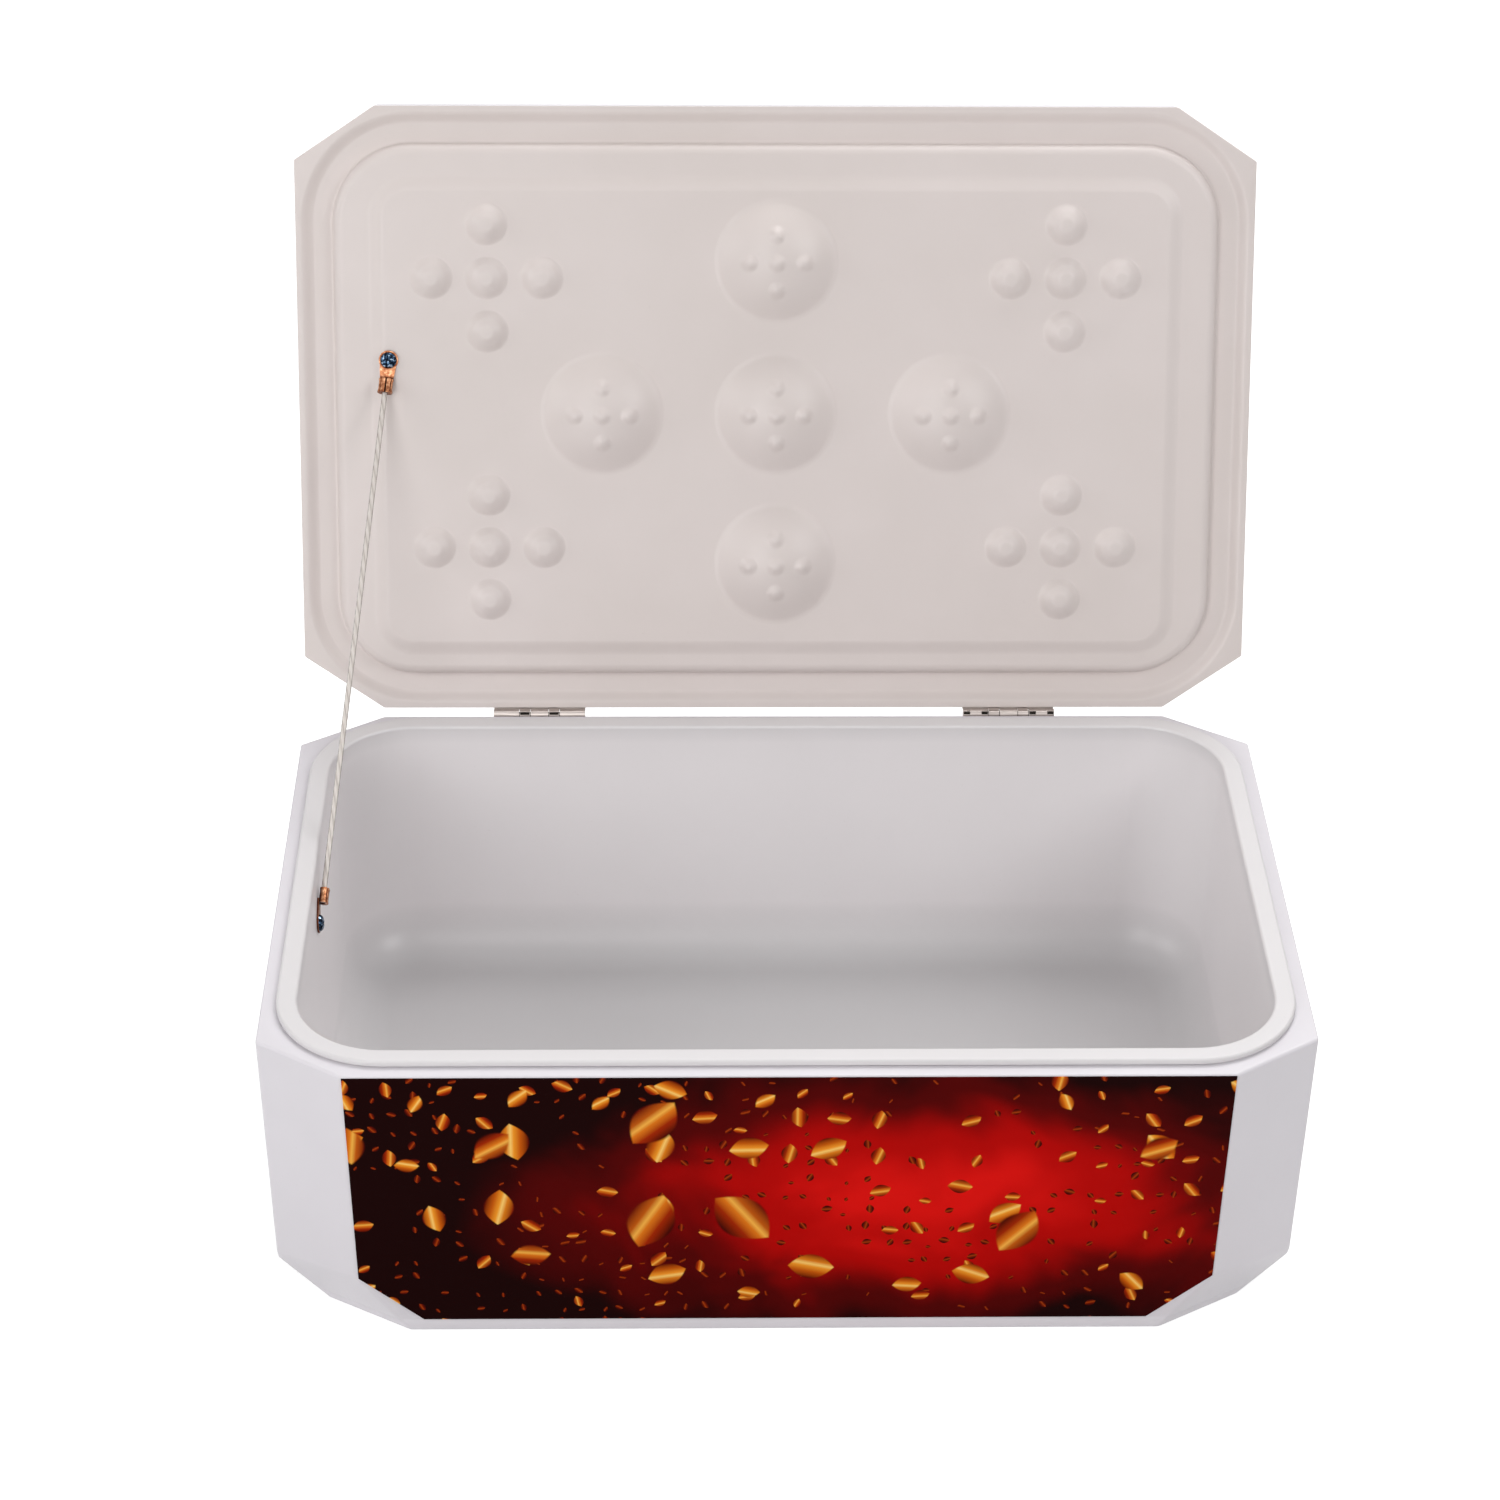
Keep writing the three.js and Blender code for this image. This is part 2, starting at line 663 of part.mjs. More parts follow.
// Hinge pieces, drawn round the pin's axis; the direction is 1 for the lid and -1 for the body
function hingeLeaf(direction) {
	const own = knuckleSpans().filter((span, index) => index % 2 === (direction > 0 ? 1 : 0));
	const clear = knuckleRadius + knuckleGap;
	const halfHinge = hingeLength / 2;
	const plate = box(
		[-halfHinge, leafNear, direction * clear],
		[halfHinge, leafFar, direction * leafWidth],
	);
	const knuckles = own.flatMap(([low, high]) => [
		solidOf(bar(knuckleRadius, low, high)),
		solidOf(box([low, leafNear, 0], [high, leafFar, direction * (clear + leafThickness)])),
	]);
	const holes = leafScrewPlaces.map((x) => solidOf(leafScrewForm(seatGap)
		.rotateX(-quarterTurn)
		.translate(x, leafFar, direction * leafScrewOffset)));
	return solidOf(plate)
		.add(joined(knuckles))
		.subtract(solidOf(bar(knuckleBore, -hingeLength, hingeLength)))
		.subtract(joined(holes));
}

function knuckleSpans() {
	let start = -hingeLength / 2;
	return knuckleShares.map((share, index) => {
		const end = start + share * hingeLength;
		const low = index > 0 ? start + knuckleGap / 2 : start;
		const high = index + 1 < knuckleShares.length ? end - knuckleGap / 2 : end;
		start = end;
		return [low, high];
	});
}

// A countersunk screw with its head's face at zero, or the hole for it
function leafScrewForm(grow) {
	const shank = leafScrewRadius + grow;
	const head = leafScrewHead + grow;
	const tip = -(leafThickness + seatGap + shellWall + seatGap + leafScrewGrip + grow);
	const top = grow > 0 ? overrun : 0;
	return turned([[0, top], [head, top], [head, 0], [shank, -leafThickness], [shank, tip], [0, tip]],
		screwSides);
}

function leafScrewHoles(direction) {
	const height = hingeAxisHeight + direction * leafScrewOffset;
	return joined(leafScrewSpots().map((x) => solidOf(
		rod(leafScrewRadius + seatGap, -overrun, overrun, screwSides)
			.rotateX(-quarterTurn)
			.translate(x, halfDepth, height))));
}

function leafScrewSpots() {
	return Object.values(sides).flatMap((side) => leafScrewPlaces.map((x) => side * hingeOffset + x));
}

// A backing block grown by an allowance; the lid's block stands on the groove's back
function hingeBlockForm(side, direction, grow) {
	const wall = direction > 0 ? lidWall : shellWall;
	const row = hingeAxisHeight + direction * leafScrewOffset;
	const low = direction > 0 ? grooveRoof + seatGap : row - blockHeight / 2;
	const far = halfDepth - wall - seatGap;
	return box(
		[side * hingeOffset - blockLength / 2 - grow, far - blockThickness - grow, low - grow],
		[side * hingeOffset + blockLength / 2 + grow, far + grow, low + blockHeight + grow],
	);
}

function hingeBlock(side, direction) {
	const row = hingeAxisHeight + direction * leafScrewOffset;
	const holes = leafScrewPlaces.map((x) => solidOf(leafScrewForm(seatGap)
		.rotateX(-quarterTurn)
		.translate(side * hingeOffset + x, hingeAxisDepth + leafFar, row)));
	return solidOf(hingeBlockForm(side, direction, 0)).subtract(joined(holes));
}

// Lanyard pieces, drawn on a surface at Z zero
function lug(target) {
	const ring = rod(lugRadius, seatGap, seatGap + lugSheet, roundSides);
	const [nearHalf, farHalf] = tongueShares.map((share) => share * lugRadius);
	const reach = tongueLength + barrelFoot;
	const outline = [[0, -nearHalf], [reach, -farHalf], [reach, farHalf], [0, nearHalf]];
	const shape = new THREE.Shape(outline.map(([x, y]) => new THREE.Vector2(x, y)));
	const tongue = new THREE.ExtrudeGeometry(shape, { depth: lugSheet, bevelEnabled: false })
		.translate(0, 0, seatGap);
	const aim = barrelAim(target);
	const lobes = [-lobeSpread, lobeSpread].map((y) => placed(
		bar(lobeRadius, 0, barrelLength).translate(0, y, lobeRise), aim));
	const bed = placed(box([0, -farHalf, -barrelFoot], [barrelLength, farHalf, lobeRise]), aim);
	return solidOf(ring)
		.add(solidOf(tongue))
		.add(bed)
		.add(joined(lobes))
		.subtract(placed(bar(cableRadius + seatGap, -overrun, barrelLength + overrun), aim))
		.subtract(solidOf(rod(lugScrewRadius + seatGap, -overrun, overrun, screwSides)));
}

// The barrel's frame: X along the cable, which starts at the barrel and runs to a target
function barrelAim(target) {
	const along = target.clone().sub(barrelStart).normalize();
	const across = new THREE.Vector3(0, 0, 1).cross(along).normalize();
	return new THREE.Matrix4()
		.makeBasis(along, across, along.clone().cross(across))
		.setPosition(barrelStart);
}

function wallLug() {
	return lug(lidBarrel.clone().applyMatrix4(wallFrame.clone().invert()));
}

function lidLug() {
	return lug(wallBarrel.clone().applyMatrix4(shut).applyMatrix4(lidFrame.clone().invert()));
}

function lugScrew(wall) {
	const tip = -(lugScrewSeat + wall + seatGap + lugScrewGrip);
	const profile = [[0, tip], [lugScrewRadius, tip], [lugScrewRadius, 0]];
	for (let step = 0; step <= headSteps; step++) {
		const turn = (step / headSteps) * quarterTurn;
		profile.push([lugScrewHead * Math.cos(turn), lugScrewHeadHeight * Math.sin(turn)]);
	}
	profile.at(-1)[0] = 0;
	return solidOf(turned(profile, roundSides).translate(0, 0, lugScrewSeat));
}

function lugScrewHole() {
	return rod(lugScrewRadius + seatGap, -2 * overrun, overrun, screwSides);
}

// A nylon insert behind a wall, grown by an allowance
function insertForm(wall, grow) {
	const top = -wall - seatGap;
	return rod(insertRadius + grow, top - insertLength - grow, top + grow, roundSides);
}

function insert(wall) {
	const bore = rod(lugScrewRadius + seatGap, -insertLength - wall - overrun, overrun, screwSides);
	return solidOf(insertForm(wall, 0)).subtract(solidOf(bore));
}

function cable() {
	const along = lidBarrel.clone().sub(wallBarrel).normalize().multiplyScalar(cableInset);
	const path = new THREE.LineCurve3(wallBarrel.clone().add(along), lidBarrel.clone().sub(along));
	const corners = Array.from({ length: cableSides }, (_, index) => {
		const turn = (index / cableSides) * 4 * quarterTurn;
		return new THREE.Vector2(cableRadius * Math.cos(turn), cableRadius * Math.sin(turn));
	});
	const steps = Math.ceil(path.getLength() / cableStep);
	return solidOf(new THREE.ExtrudeGeometry(new THREE.Shape(corners), { steps, extrudePath: path }));
}

// One hinge's pieces on the body or on the lid
function hingeSide(sideName, direction) {
	const side = sides[sideName];
	const owner = direction > 0 ? 'lid' : 'base';
	const leaf = piece(`hinge_${sideName}_${owner}_leaf`, hingeLeaf(direction), stainless);
	leaf.position.set(side * hingeOffset, hingeAxisDepth, hingeAxisHeight);
	const screws = leafScrewPlaces.map((x, index) => {
		const name = `hinge_${sideName}_${owner}_screw_${index + 1}`;
		const screw = piece(name, solidOf(leafScrewForm(0)), stainless);
		screw.rotation.x = -quarterTurn;
		screw.position.set(
			side * hingeOffset + x,
			hingeAxisDepth + leafFar,
			hingeAxisHeight + direction * leafScrewOffset,
		);
		return screw;
	});
	const block = piece(`hinge_${sideName}_${owner}_block`, hingeBlock(side, direction), wood);
	return [leaf, ...screws, block];
}

function hingePin(sideName) {
	const pin = piece(
		`hinge_${sideName}_pin`, solidOf(bar(pinRadius, -hingeLength / 2, hingeLength / 2)), stainless);
	pin.position.set(sides[sideName] * hingeOffset, hingeAxisDepth, hingeAxisHeight);
	return pin;
}

// A lug with its screw and insert, on a wall of the liner or the lid
function anchor(name, lugSolid, wall, frame) {
	const pieces = [
		piece(`lanyard_${name}_lug`, lugSolid, copper),
		piece(`lanyard_${name}_screw`, lugScrew(wall), zinc),
		piece(`lanyard_${name}_insert`, insert(wall), nylon),
	];
	pieces.forEach((mesh) => mesh.applyMatrix4(frame));
	return pieces;
}

const base = new THREE.Group();
base.add(
	piece('outer_shell', outerShell(), whitePlastic),
	piece('base_tray', baseTray(), whitePlastic),
	piece('base_foam', baseFoam(), foam),
	piece('inner_liner', innerLiner(), greyLiner),
	piece('front_panel', frontPanel(), printedSheet),
	...Object.keys(sides).flatMap((sideName) => [...hingeSide(sideName, -1), hingePin(sideName)]),
	...anchor('wall', wallLug(), linerWall, wallFrame),
	piece('lanyard_cable', cable(), wire),
);

const lid = new THREE.Group();
lid.position.set(0, -hingeAxisDepth, -hingeAxisHeight);
lid.add(
	piece('lid_cover', lidCover(), whitePlastic),
	piece('lid_foam', lidFoam(), foam),
	piece('lid_pan', lidPan(), warmPlastic),
	...Object.keys(sides).flatMap((sideName) => hingeSide(sideName, 1)),
	...anchor('lid', lidLug(), panSheet, lidFrame),
);

const lidHinge = new THREE.Group();
lidHinge.position.set(0, hingeAxisDepth, hingeAxisHeight);
lidHinge.rotation.x = -THREE.MathUtils.degToRad(openAngle);
lidHinge.add(lid);

const cooler = new THREE.Group();
cooler.add(base, lidHinge);

export default cooler;
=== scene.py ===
# %% [markdown]
# # An open picnic cooler
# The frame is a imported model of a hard-sided cooler. It has a faceted body with a tub set into it, and
# an insulated lid that leans back on a wire lanyard. This lesson gives it its surfaces and finishes.
# The shapes are worked out with numpy in millimetres and turned to metres when a mesh is made.

import bpy
import numpy as np
from mathutils import Matrix


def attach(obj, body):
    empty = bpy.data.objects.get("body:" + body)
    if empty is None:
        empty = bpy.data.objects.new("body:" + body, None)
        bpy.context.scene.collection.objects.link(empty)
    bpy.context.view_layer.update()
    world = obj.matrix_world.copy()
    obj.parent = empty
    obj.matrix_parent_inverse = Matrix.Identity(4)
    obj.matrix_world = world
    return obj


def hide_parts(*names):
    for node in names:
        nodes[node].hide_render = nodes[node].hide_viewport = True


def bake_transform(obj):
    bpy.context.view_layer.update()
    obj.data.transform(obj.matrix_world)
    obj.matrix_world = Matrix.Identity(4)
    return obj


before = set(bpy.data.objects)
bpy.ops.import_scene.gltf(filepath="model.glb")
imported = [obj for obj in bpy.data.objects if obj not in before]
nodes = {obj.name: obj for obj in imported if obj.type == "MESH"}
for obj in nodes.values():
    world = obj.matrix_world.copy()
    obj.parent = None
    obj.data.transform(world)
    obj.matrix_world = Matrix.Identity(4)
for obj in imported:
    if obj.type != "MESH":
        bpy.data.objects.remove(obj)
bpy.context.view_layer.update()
MM = 0.001
print("CAD nodes:", len(nodes))

# %% [markdown]
# ## The camera
# The view was fitted to about thirty corners of the cooler, so the camera's place, its three turns and
# its lens are numbers from that fit. A camera looks along its own -Z, so its matrix is built from three
# directions: right, up and backwards. That is plainer to read than three Euler angles.

# %% Camera
def matrix_of(*columns):
    """A matrix from its columns: the way right, the way up, the way back and the place."""
    matrix = np.eye(4)
    matrix[:3] = np.stack(columns, axis=1)
    return Matrix(matrix)


camera_place = np.array([-0.077, -2.255, 1.760])
pitch, yaw, roll = np.radians([32.3, 1.35, 0.65])
forward = np.array([np.sin(yaw) * np.cos(pitch), np.cos(yaw) * np.cos(pitch), -np.sin(pitch)])
level_right = np.array([np.cos(yaw), -np.sin(yaw), 0.0])
level_up = np.cross(level_right, forward)
right = level_right * np.cos(roll) + level_up * np.sin(roll)
up = level_up * np.cos(roll) - level_right * np.sin(roll)
camera = bpy.data.objects.new("camera", bpy.data.cameras.new("camera"))
camera.data.lens = 91.25
camera.data.sensor_width = 36
camera.matrix_world = matrix_of(right, up, -forward, camera_place)
bpy.context.scene.collection.objects.link(camera)
bpy.context.scene.camera = camera
print("camera at", camera_place, "with a lens of", camera.data.lens, "mm")

# %% [markdown]
# ## Sizes and the turned lid
# A shape that is drawn the way it is made is easy to check, so every lid piece is drawn shut and level,
# and one function then turns its points open about the hinge's axis.

# %% Sizes
half_length, half_depth, rim_height = 360.0, 228.6, 221.0
cut_length, cut_depth = 60.0, 40.0
shell_foot = 10.5
opening_half = np.array([335.0, 203.6])
liner_radius = 62.0
lip_width, lip_top, lip_ease = 14.5, 226.0, 2.0
floor_height, floor_curve, liner_lean, liner_wall = 26.0, 36.0, 5.0, 2.5
plug_half, plug_radius = np.array([332.0, 200.6]), 59.0
plateau_half, plateau_radius, plateau_shift = np.array([300.0, 176.6]), 25.0, 4.0
lid_low, plug_low, plateau_low, lid_top = 222.5, 215.5, 211.5, 260.5
hinge_axis = np.array([0.0, 233.4, 218.8])
open_angle = np.radians(109.9)


def turned(points, angle):
    """Points turned about the hinge's axis in the plane of depth and height. A positive angle closes."""
    offset = np.asarray(points, float) - hinge_axis
    cos, sin = np.cos(angle), np.sin(angle)
    y = offset[..., 1] * cos - offset[..., 2] * sin
    z = offset[..., 2] * cos + offset[..., 1] * sin
    return np.stack([offset[..., 0], y, z], axis=-1) + hinge_axis


def opened(points):
    """Points of the shut lid, turned back by the opening angle."""
    return turned(points, -open_angle)


def shut(points):
    """Points of the open lid, turned down onto the body."""
    return turned(points, open_angle)


def smooth(share):
    """Smoothstep: 3 share^2 - 2 share^3, held at 0 below 0 and at 1 above 1."""
    share = np.clip(share, 0, 1)
    return share * share * (3 - 2 * share)


print("the lid opens by", round(float(np.degrees(open_angle)), 1), "degrees")

# %% [markdown]
# ## Making meshes
# Most shapes here are stacks of rings: a ring of points is carried through levels, and neighbouring
# rings are joined by quads. Blender could skin such rings with its own tools, but whole arrays keep each
# formula in sight. A piece stays at the origin with its place in its mesh, as the frame's nodes do.

# %% Mesh helpers
def band(low, high, count):
    """Quads between two rings, given by the numbers of their first points: points i and i + 1 of the low
    ring, then i + 1 and i of the high one."""
    i = np.arange(count)
    j = (i + 1) % count
    return np.stack([low + i, low + j, high + j, high + i], axis=-1).reshape(-1, 4).tolist()


def ring_quads(levels, count, first=0):
    """Quads through a stack of rings that lie one after another from a first point."""
    start = first + count * np.arange(levels - 1)[:, None]
    return band(start, start + count, count)


def cap(first, count):
    """One face over the whole ring that starts at a point."""
    return list(range(first, first + count))


def flipped(faces):
    """The same faces, looking the other way."""
    return [face[::-1] for face in faces]


def ring_stack(rings, closed=False):
    """Quads through a list of rings. A closed stack joins the last ring to the first, and an open one
    ends in two caps."""
    count, last = len(rings[0]), len(rings[0]) * (len(rings) - 1)
    faces = ring_quads(len(rings), count)
    faces += band(last, 0, count) if closed else [cap(0, count)[::-1], cap(last, count)]
    return np.concatenate(rings), faces


def double_wall(first, second):
    """A shell with two walls. The first wall's rings end in a cap, the second wall's rings start with
    one, and the last ring of all is joined to the first."""
    count, middle = len(first[0]), len(first[0]) * len(first)
    faces = ring_quads(len(first), count) + [cap(middle - count, count), cap(middle, count)[::-1]]
    faces += ring_quads(len(second), count, middle) + band(middle + count * (len(second) - 1), 0, count)
    return np.concatenate(first + second), faces


def merged(*shells):
    """Several shells as one: points one after another, faces with their corner numbers moved on."""
    starts = np.cumsum([0] + [len(points) for points, faces in shells[:-1]])
    faces = [[corner + start for corner in face]
             for (points, shell_faces), start in zip(shells, starts.tolist()) for face in shell_faces]
    return np.concatenate([points for points, faces in shells]), faces


def piece(name, shell, body, replaces=(), crease=35):
    """An object from a shell in millimetres. What rides on the lid is drawn shut, so it is turned open
    here. Edges that fold by more than crease degrees stay sharp."""
    points, faces = shell
    points = opened(points) if body == "lid" else points
    mesh = bpy.data.meshes.new(name)
    mesh.from_pydata((points * MM).tolist(), [], faces)
    mesh.shade_smooth()
    mesh.set_sharp_from_angle(angle=np.radians(crease))
    obj = bpy.data.objects.new(name, mesh)
    bpy.context.scene.collection.objects.link(obj)
    if body:
        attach(obj, body)
    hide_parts(*replaces)
    print(name, len(faces), "faces, size", np.ptp(points, axis=0).round(1), "mm")
    return obj


def even_shading(obj):
    """Large flat faces keep flat shading beside small round ones, as a moulding's flats do."""
    obj.modifiers.new("even_shading", "WEIGHTED_NORMAL").keep_sharp = True

# %% [markdown]
# ## The lanyard's places
# A wire lanyard stops the lid. Each end has a crimped copper lug that is screwed to a wall: one low on the
# tub's left wall, one on the lid's raised middle. Each lug lies flat on its wall and points at the other,
# so its frame has Z out of the wall and X along the wall towards the other lug.

# %% Lanyard frames
seat_gap = 0.3
tongue_length, barrel_length, barrel_foot = 14.5, 11.0, 3.1
wall_lug_height, wall_lug_row = rim_height - 32, -3.0
lid_lug_inset, lid_lug_row = 8.8, -40.5
curve_top = floor_height + floor_curve
lip_shoulder = lip_top - lip_ease


def liner_inset(height):
    """How far a liner wall leans in at a height: straight from the lip's shoulder to the floor curve."""
    return liner_lean * (lip_shoulder - height) / (lip_shoulder - curve_top)


def unit(vectors):
    """Vectors divided by their own lengths."""
    return vectors / np.linalg.norm(vectors, axis=-1, keepdims=True)


def frame_on(spot, normal, target):
    """Columns X, Y, Z: Z is the wall's normal, X the way to the target without its part along Z."""
    out = unit(normal)
    along = target - spot
    along = unit(along - out * (along @ out))
    return np.stack([along, np.cross(out, along), out], axis=1), spot


def placed(points, axes_and_spot):
    """Local points in a frame: each coordinate times its axis, plus the frame's spot."""
    axes, spot = axes_and_spot
    return points @ axes.T + spot


def in_frame(point, axes_and_spot):
    """The other way round: the point's offset from the spot, measured along each axis."""
    axes, spot = axes_and_spot
    return (point - spot) @ axes


wall_spot = np.array([liner_inset(wall_lug_height) - opening_half[0], wall_lug_row, wall_lug_height])
lid_spot = np.array([lid_lug_inset - plateau_half[0], lid_lug_row, plateau_low])
wall_frame = frame_on(wall_spot, np.array([lip_shoulder - curve_top, 0, liner_lean]), opened(lid_spot))
lid_frame = frame_on(lid_spot, np.array([0, 0, -1.0]), shut(wall_spot))
barrel_start = np.array([tongue_length, 0, seat_gap + barrel_foot])
wall_barrel = placed(barrel_start, wall_frame)
lid_barrel = opened(placed(barrel_start, lid_frame))
print("lugs are", round(float(np.linalg.norm(lid_barrel - wall_barrel)), 1), "mm apart")

# %% [markdown]
# ## The cable
# The cable is twisted steel wire in a clear plastic coat, 4 mm thick, and the leaning lid holds it taut.
# A tube is carried along the straight line between the barrels. Its radius has a faint wave that winds
# round it, because the coat follows the strands.

# %% Cable
cable_radius, strands, strand_pitch, strand_wave = 2.0, 6, 40.0, 0.04


def cable_tube(start, end, sides=24, step=1.0):
    """Ring k lies at step x k along the line. Its radius is the cable's, less a wave in the turn plus
    the winding: the strands' wave x (1 - cos(strands x turn - 2 pi x length x strands / pitch))."""
    length = np.linalg.norm(end - start)
    line = frame_on(start, np.cross(end - start, [1.0, 0, 0]), end)
    along = np.linspace(0, length, int(length / step) + 1)[:, None]
    turn = 2 * np.pi * np.arange(sides) / sides
    winding = 2 * np.pi * along * strands / strand_pitch
    radius = cable_radius - strand_wave * (1 - np.cos(strands * turn - winding))
    rings = np.stack([along + 0 * turn, radius * np.cos(turn), radius * np.sin(turn)], axis=-1)
    points, faces = ring_stack(rings)
    return (placed(points, line), faces), along, turn


pull = unit(lid_barrel - wall_barrel)
cable_start, cable_end = wall_barrel + pull, lid_barrel - pull
cable_shell, cable_along, cable_turn = cable_tube(cable_start, cable_end)
cable = piece("lanyard_wire", cable_shell, None, ["lanyard_cable"], crease=60)

# %% [markdown]
# The strands are drawn later as stripes, so the tube needs a map: U is the length in millimetres and V the
# share of a turn. It is stored face corner by face corner, so that it can jump where a turn closes.

# %% Map of the cable
corner_points = np.zeros(len(cable.data.loops), np.int32)
cable.data.loops.foreach_get("vertex_index", corner_points)
sides = len(cable_turn)
map_u = corner_points // sides * float(cable_along[1, 0])
map_v = (corner_points % sides) / sides
closing = np.zeros(len(corner_points), bool)
quads = len(cable.data.polygons) - 2
closing[:quads * 4] = np.repeat(np.arange(quads) % sides == sides - 1, 4)
map_v = np.where(closing & (map_v == 0), 1.0, map_v)
cable_map = cable.data.uv_layers.new(name="winding")
cable_map.data.foreach_set("uv", np.stack([map_u, map_v], axis=-1).astype(np.float32).ravel())

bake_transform(cable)

# %% [markdown]
# ## The faceted shell
# The body is a box whose corners are cut off by slanted planes: a wall across each upright corner, a
# triangular facet below it, and a bevel under each end. Its corner points are where three planes meet, so
# they are found by solving three plane equations at a time. A quarter of the body gives all four by
# mirroring. The edges are then rounded by a Bevel modifier, as the edges of a mould are.

# %% Planes of the body
def plane_through(a, b, c):
    """Normal and distance of the plane through three points, turned to face away from the body's middle."""
    normal = unit(np.cross(b - a, c - a))
    distance = normal @ a
    inside = normal @ np.array([0, 0, rim_height / 2])
    return (normal, distance) if distance > inside else (-normal, -distance)


def level(height):
    """The level plane at a height."""
    return np.array([0, 0, 1.0]), height


def meeting(*planes):
    """The point where three planes meet: normal . point = distance, solved for all three at once."""
    return np.linalg.solve(np.array([normal for normal, distance in planes]),
                           np.array([distance for normal, distance in planes]))


def facet_planes():
    """The planes of the quarter with positive X and Y, named by the wall that each one is."""
    bend, end_bend, bevel_top = 48.0, 38.0, 31.0
    end_lean, corner_lean, facet_run, bevel_run = 4.4, 2.2, 35.5, 35.6
    slant = np.hypot(cut_length, cut_depth)
    rim_side = np.array([half_length - cut_length, half_depth, rim_height])
    rim_end = np.array([half_length, half_depth - cut_depth, rim_height])
    leaned = rim_side - [corner_lean * cut_depth / slant, corner_lean * cut_length / slant, 0]
    leaned[2] = bend
    bevel_edge = np.array([half_length - end_lean, 0, bevel_top])
    bevel_foot = np.array([half_length - end_lean - bevel_run, 0, 0])
    # Any second point along Y does for a wall that runs that way
    across = np.array([0, half_depth, 0])
    planes = {"front": (np.array([0, 1.0, 0]), half_depth)}
    planes["end"] = plane_through(rim_end, rim_end - across, bevel_edge)
    planes["bevel"] = plane_through(bevel_edge, bevel_edge + across, bevel_foot)
    planes["corner"] = plane_through(rim_side, rim_end, leaned)
    front_bend = meeting(planes["front"], planes["corner"], level(bend))
    end_at_bend = meeting(planes["end"], planes["corner"], level(end_bend))
    facet_foot = np.array([front_bend[0] - facet_run, half_depth, 0])
    planes["low"] = plane_through(front_bend, end_at_bend, facet_foot)
    return planes


def body_corners(inset, low, high):
    """28 corner points of the body moved in by a wall: 7 of a quarter, mirrored round all four."""
    wall = {name: (normal, distance - inset) for name, (normal, distance) in facet_planes().items()}
    wall["top"], wall["foot"] = level(high), level(low)
    trios = ["front corner top", "corner end top", "front corner low", "corner end low",
             "end bevel low", "front low foot", "low bevel foot"]
    quarter = np.array([meeting(*[wall[name] for name in trio.split()]) for trio in trios])
    signs = np.array([[1, 1, 1], [-1, 1, 1], [-1, -1, 1], [1, -1, 1]])
    return (quarter * signs[:, None]).reshape(-1, 3)


# The seven corners of a quarter are A to G, in the order of the trios of planes above
A, B, C, D, E, F, G = range(7)
QUARTER = 7
BODY_POINTS = 4 * QUARTER
BODY_WALLS = [[QUARTER * quarter + k for k in face]
              for quarter in range(4) for face in ([A, B, D, C], [C, D, E, G, F])]
# A wall that two quarters share goes down through one and up through the other
SIDES, ENDS = ((0, 1), (2, 3)), ((1, 2), (3, 0))
BODY_WALLS += [[QUARTER * one + k for k in run] + [QUARTER * other + k for k in run[::-1]]
               for run, pairs in (([A, C, F], SIDES), ([B, D, E], ENDS), ([E, G], ENDS))
               for one, other in pairs]


def loop_of(end, side):
    """Eight corners round the body: the one towards the end and the one towards the side, turned about
    from quarter to quarter."""
    pairs = [(end, side), (side, end), (end, side), (side, end)]
    return [QUARTER * quarter + k for quarter, pair in enumerate(pairs) for k in pair]


TOP_LOOP, FOOT_LOOP = loop_of(B, A), loop_of(G, F)


def facing_out(points, faces):
    """Faces of a convex form, each with its corners in the order that makes it look away from the middle."""
    middle = points.mean(axis=0)
    turned = []
    for face in faces:
        corners = points[face]
        normal = np.cross(corners[1] - corners[0], corners[2] - corners[0])
        turned.append(face if normal @ (corners.mean(axis=0) - middle) > 0 else face[::-1])
    return turned


outer = body_corners(0, shell_foot, rim_height)
print("corner facet from", outer[C].round(1), "to", outer[F].round(1))

# %% [markdown]
# The rim is a flat face with a round-cornered mouth in it. A face with a hole can't be one polygon, so it
# is split into eight: one between each side of the outline and the stretch of the mouth nearest to it.
# The outline may have eight points while the mouth has many.

# %% Outlines
STEPS = 20


def rounded(half, radius, height):
    """A rectangle with round corners, anticlockwise: each corner's middle plus radius x (cos, sin)."""
    turn = np.linspace(0, np.pi / 2, STEPS + 1) + np.arange(4)[:, None] * np.pi / 2
    x = np.array([[1], [-1], [-1], [1]]) * (half[0] - radius) + radius * np.cos(turn)
    y = np.array([[1], [1], [-1], [-1]]) * (half[1] - radius) + radius * np.sin(turn)
    return np.stack([x, y, np.full_like(x, height)], axis=-1).reshape(-1, 3)


RING = 4 * (STEPS + 1)


def around_mouth(outline, first):
    """Eight faces between an outline of eight corner numbers and a ring that starts at a number."""
    faces = []
    for corner in range(4):
        start = corner * (STEPS + 1)
        arc = cap(first + start, STEPS + 1)
        following = first + (start + STEPS + 1) % RING
        faces.append([outline[2 * corner], outline[2 * corner + 1]] + arc[::-1])
        faces.append([outline[2 * corner + 1], outline[(2 * corner + 2) % 8], following, arc[-1]])
    return faces


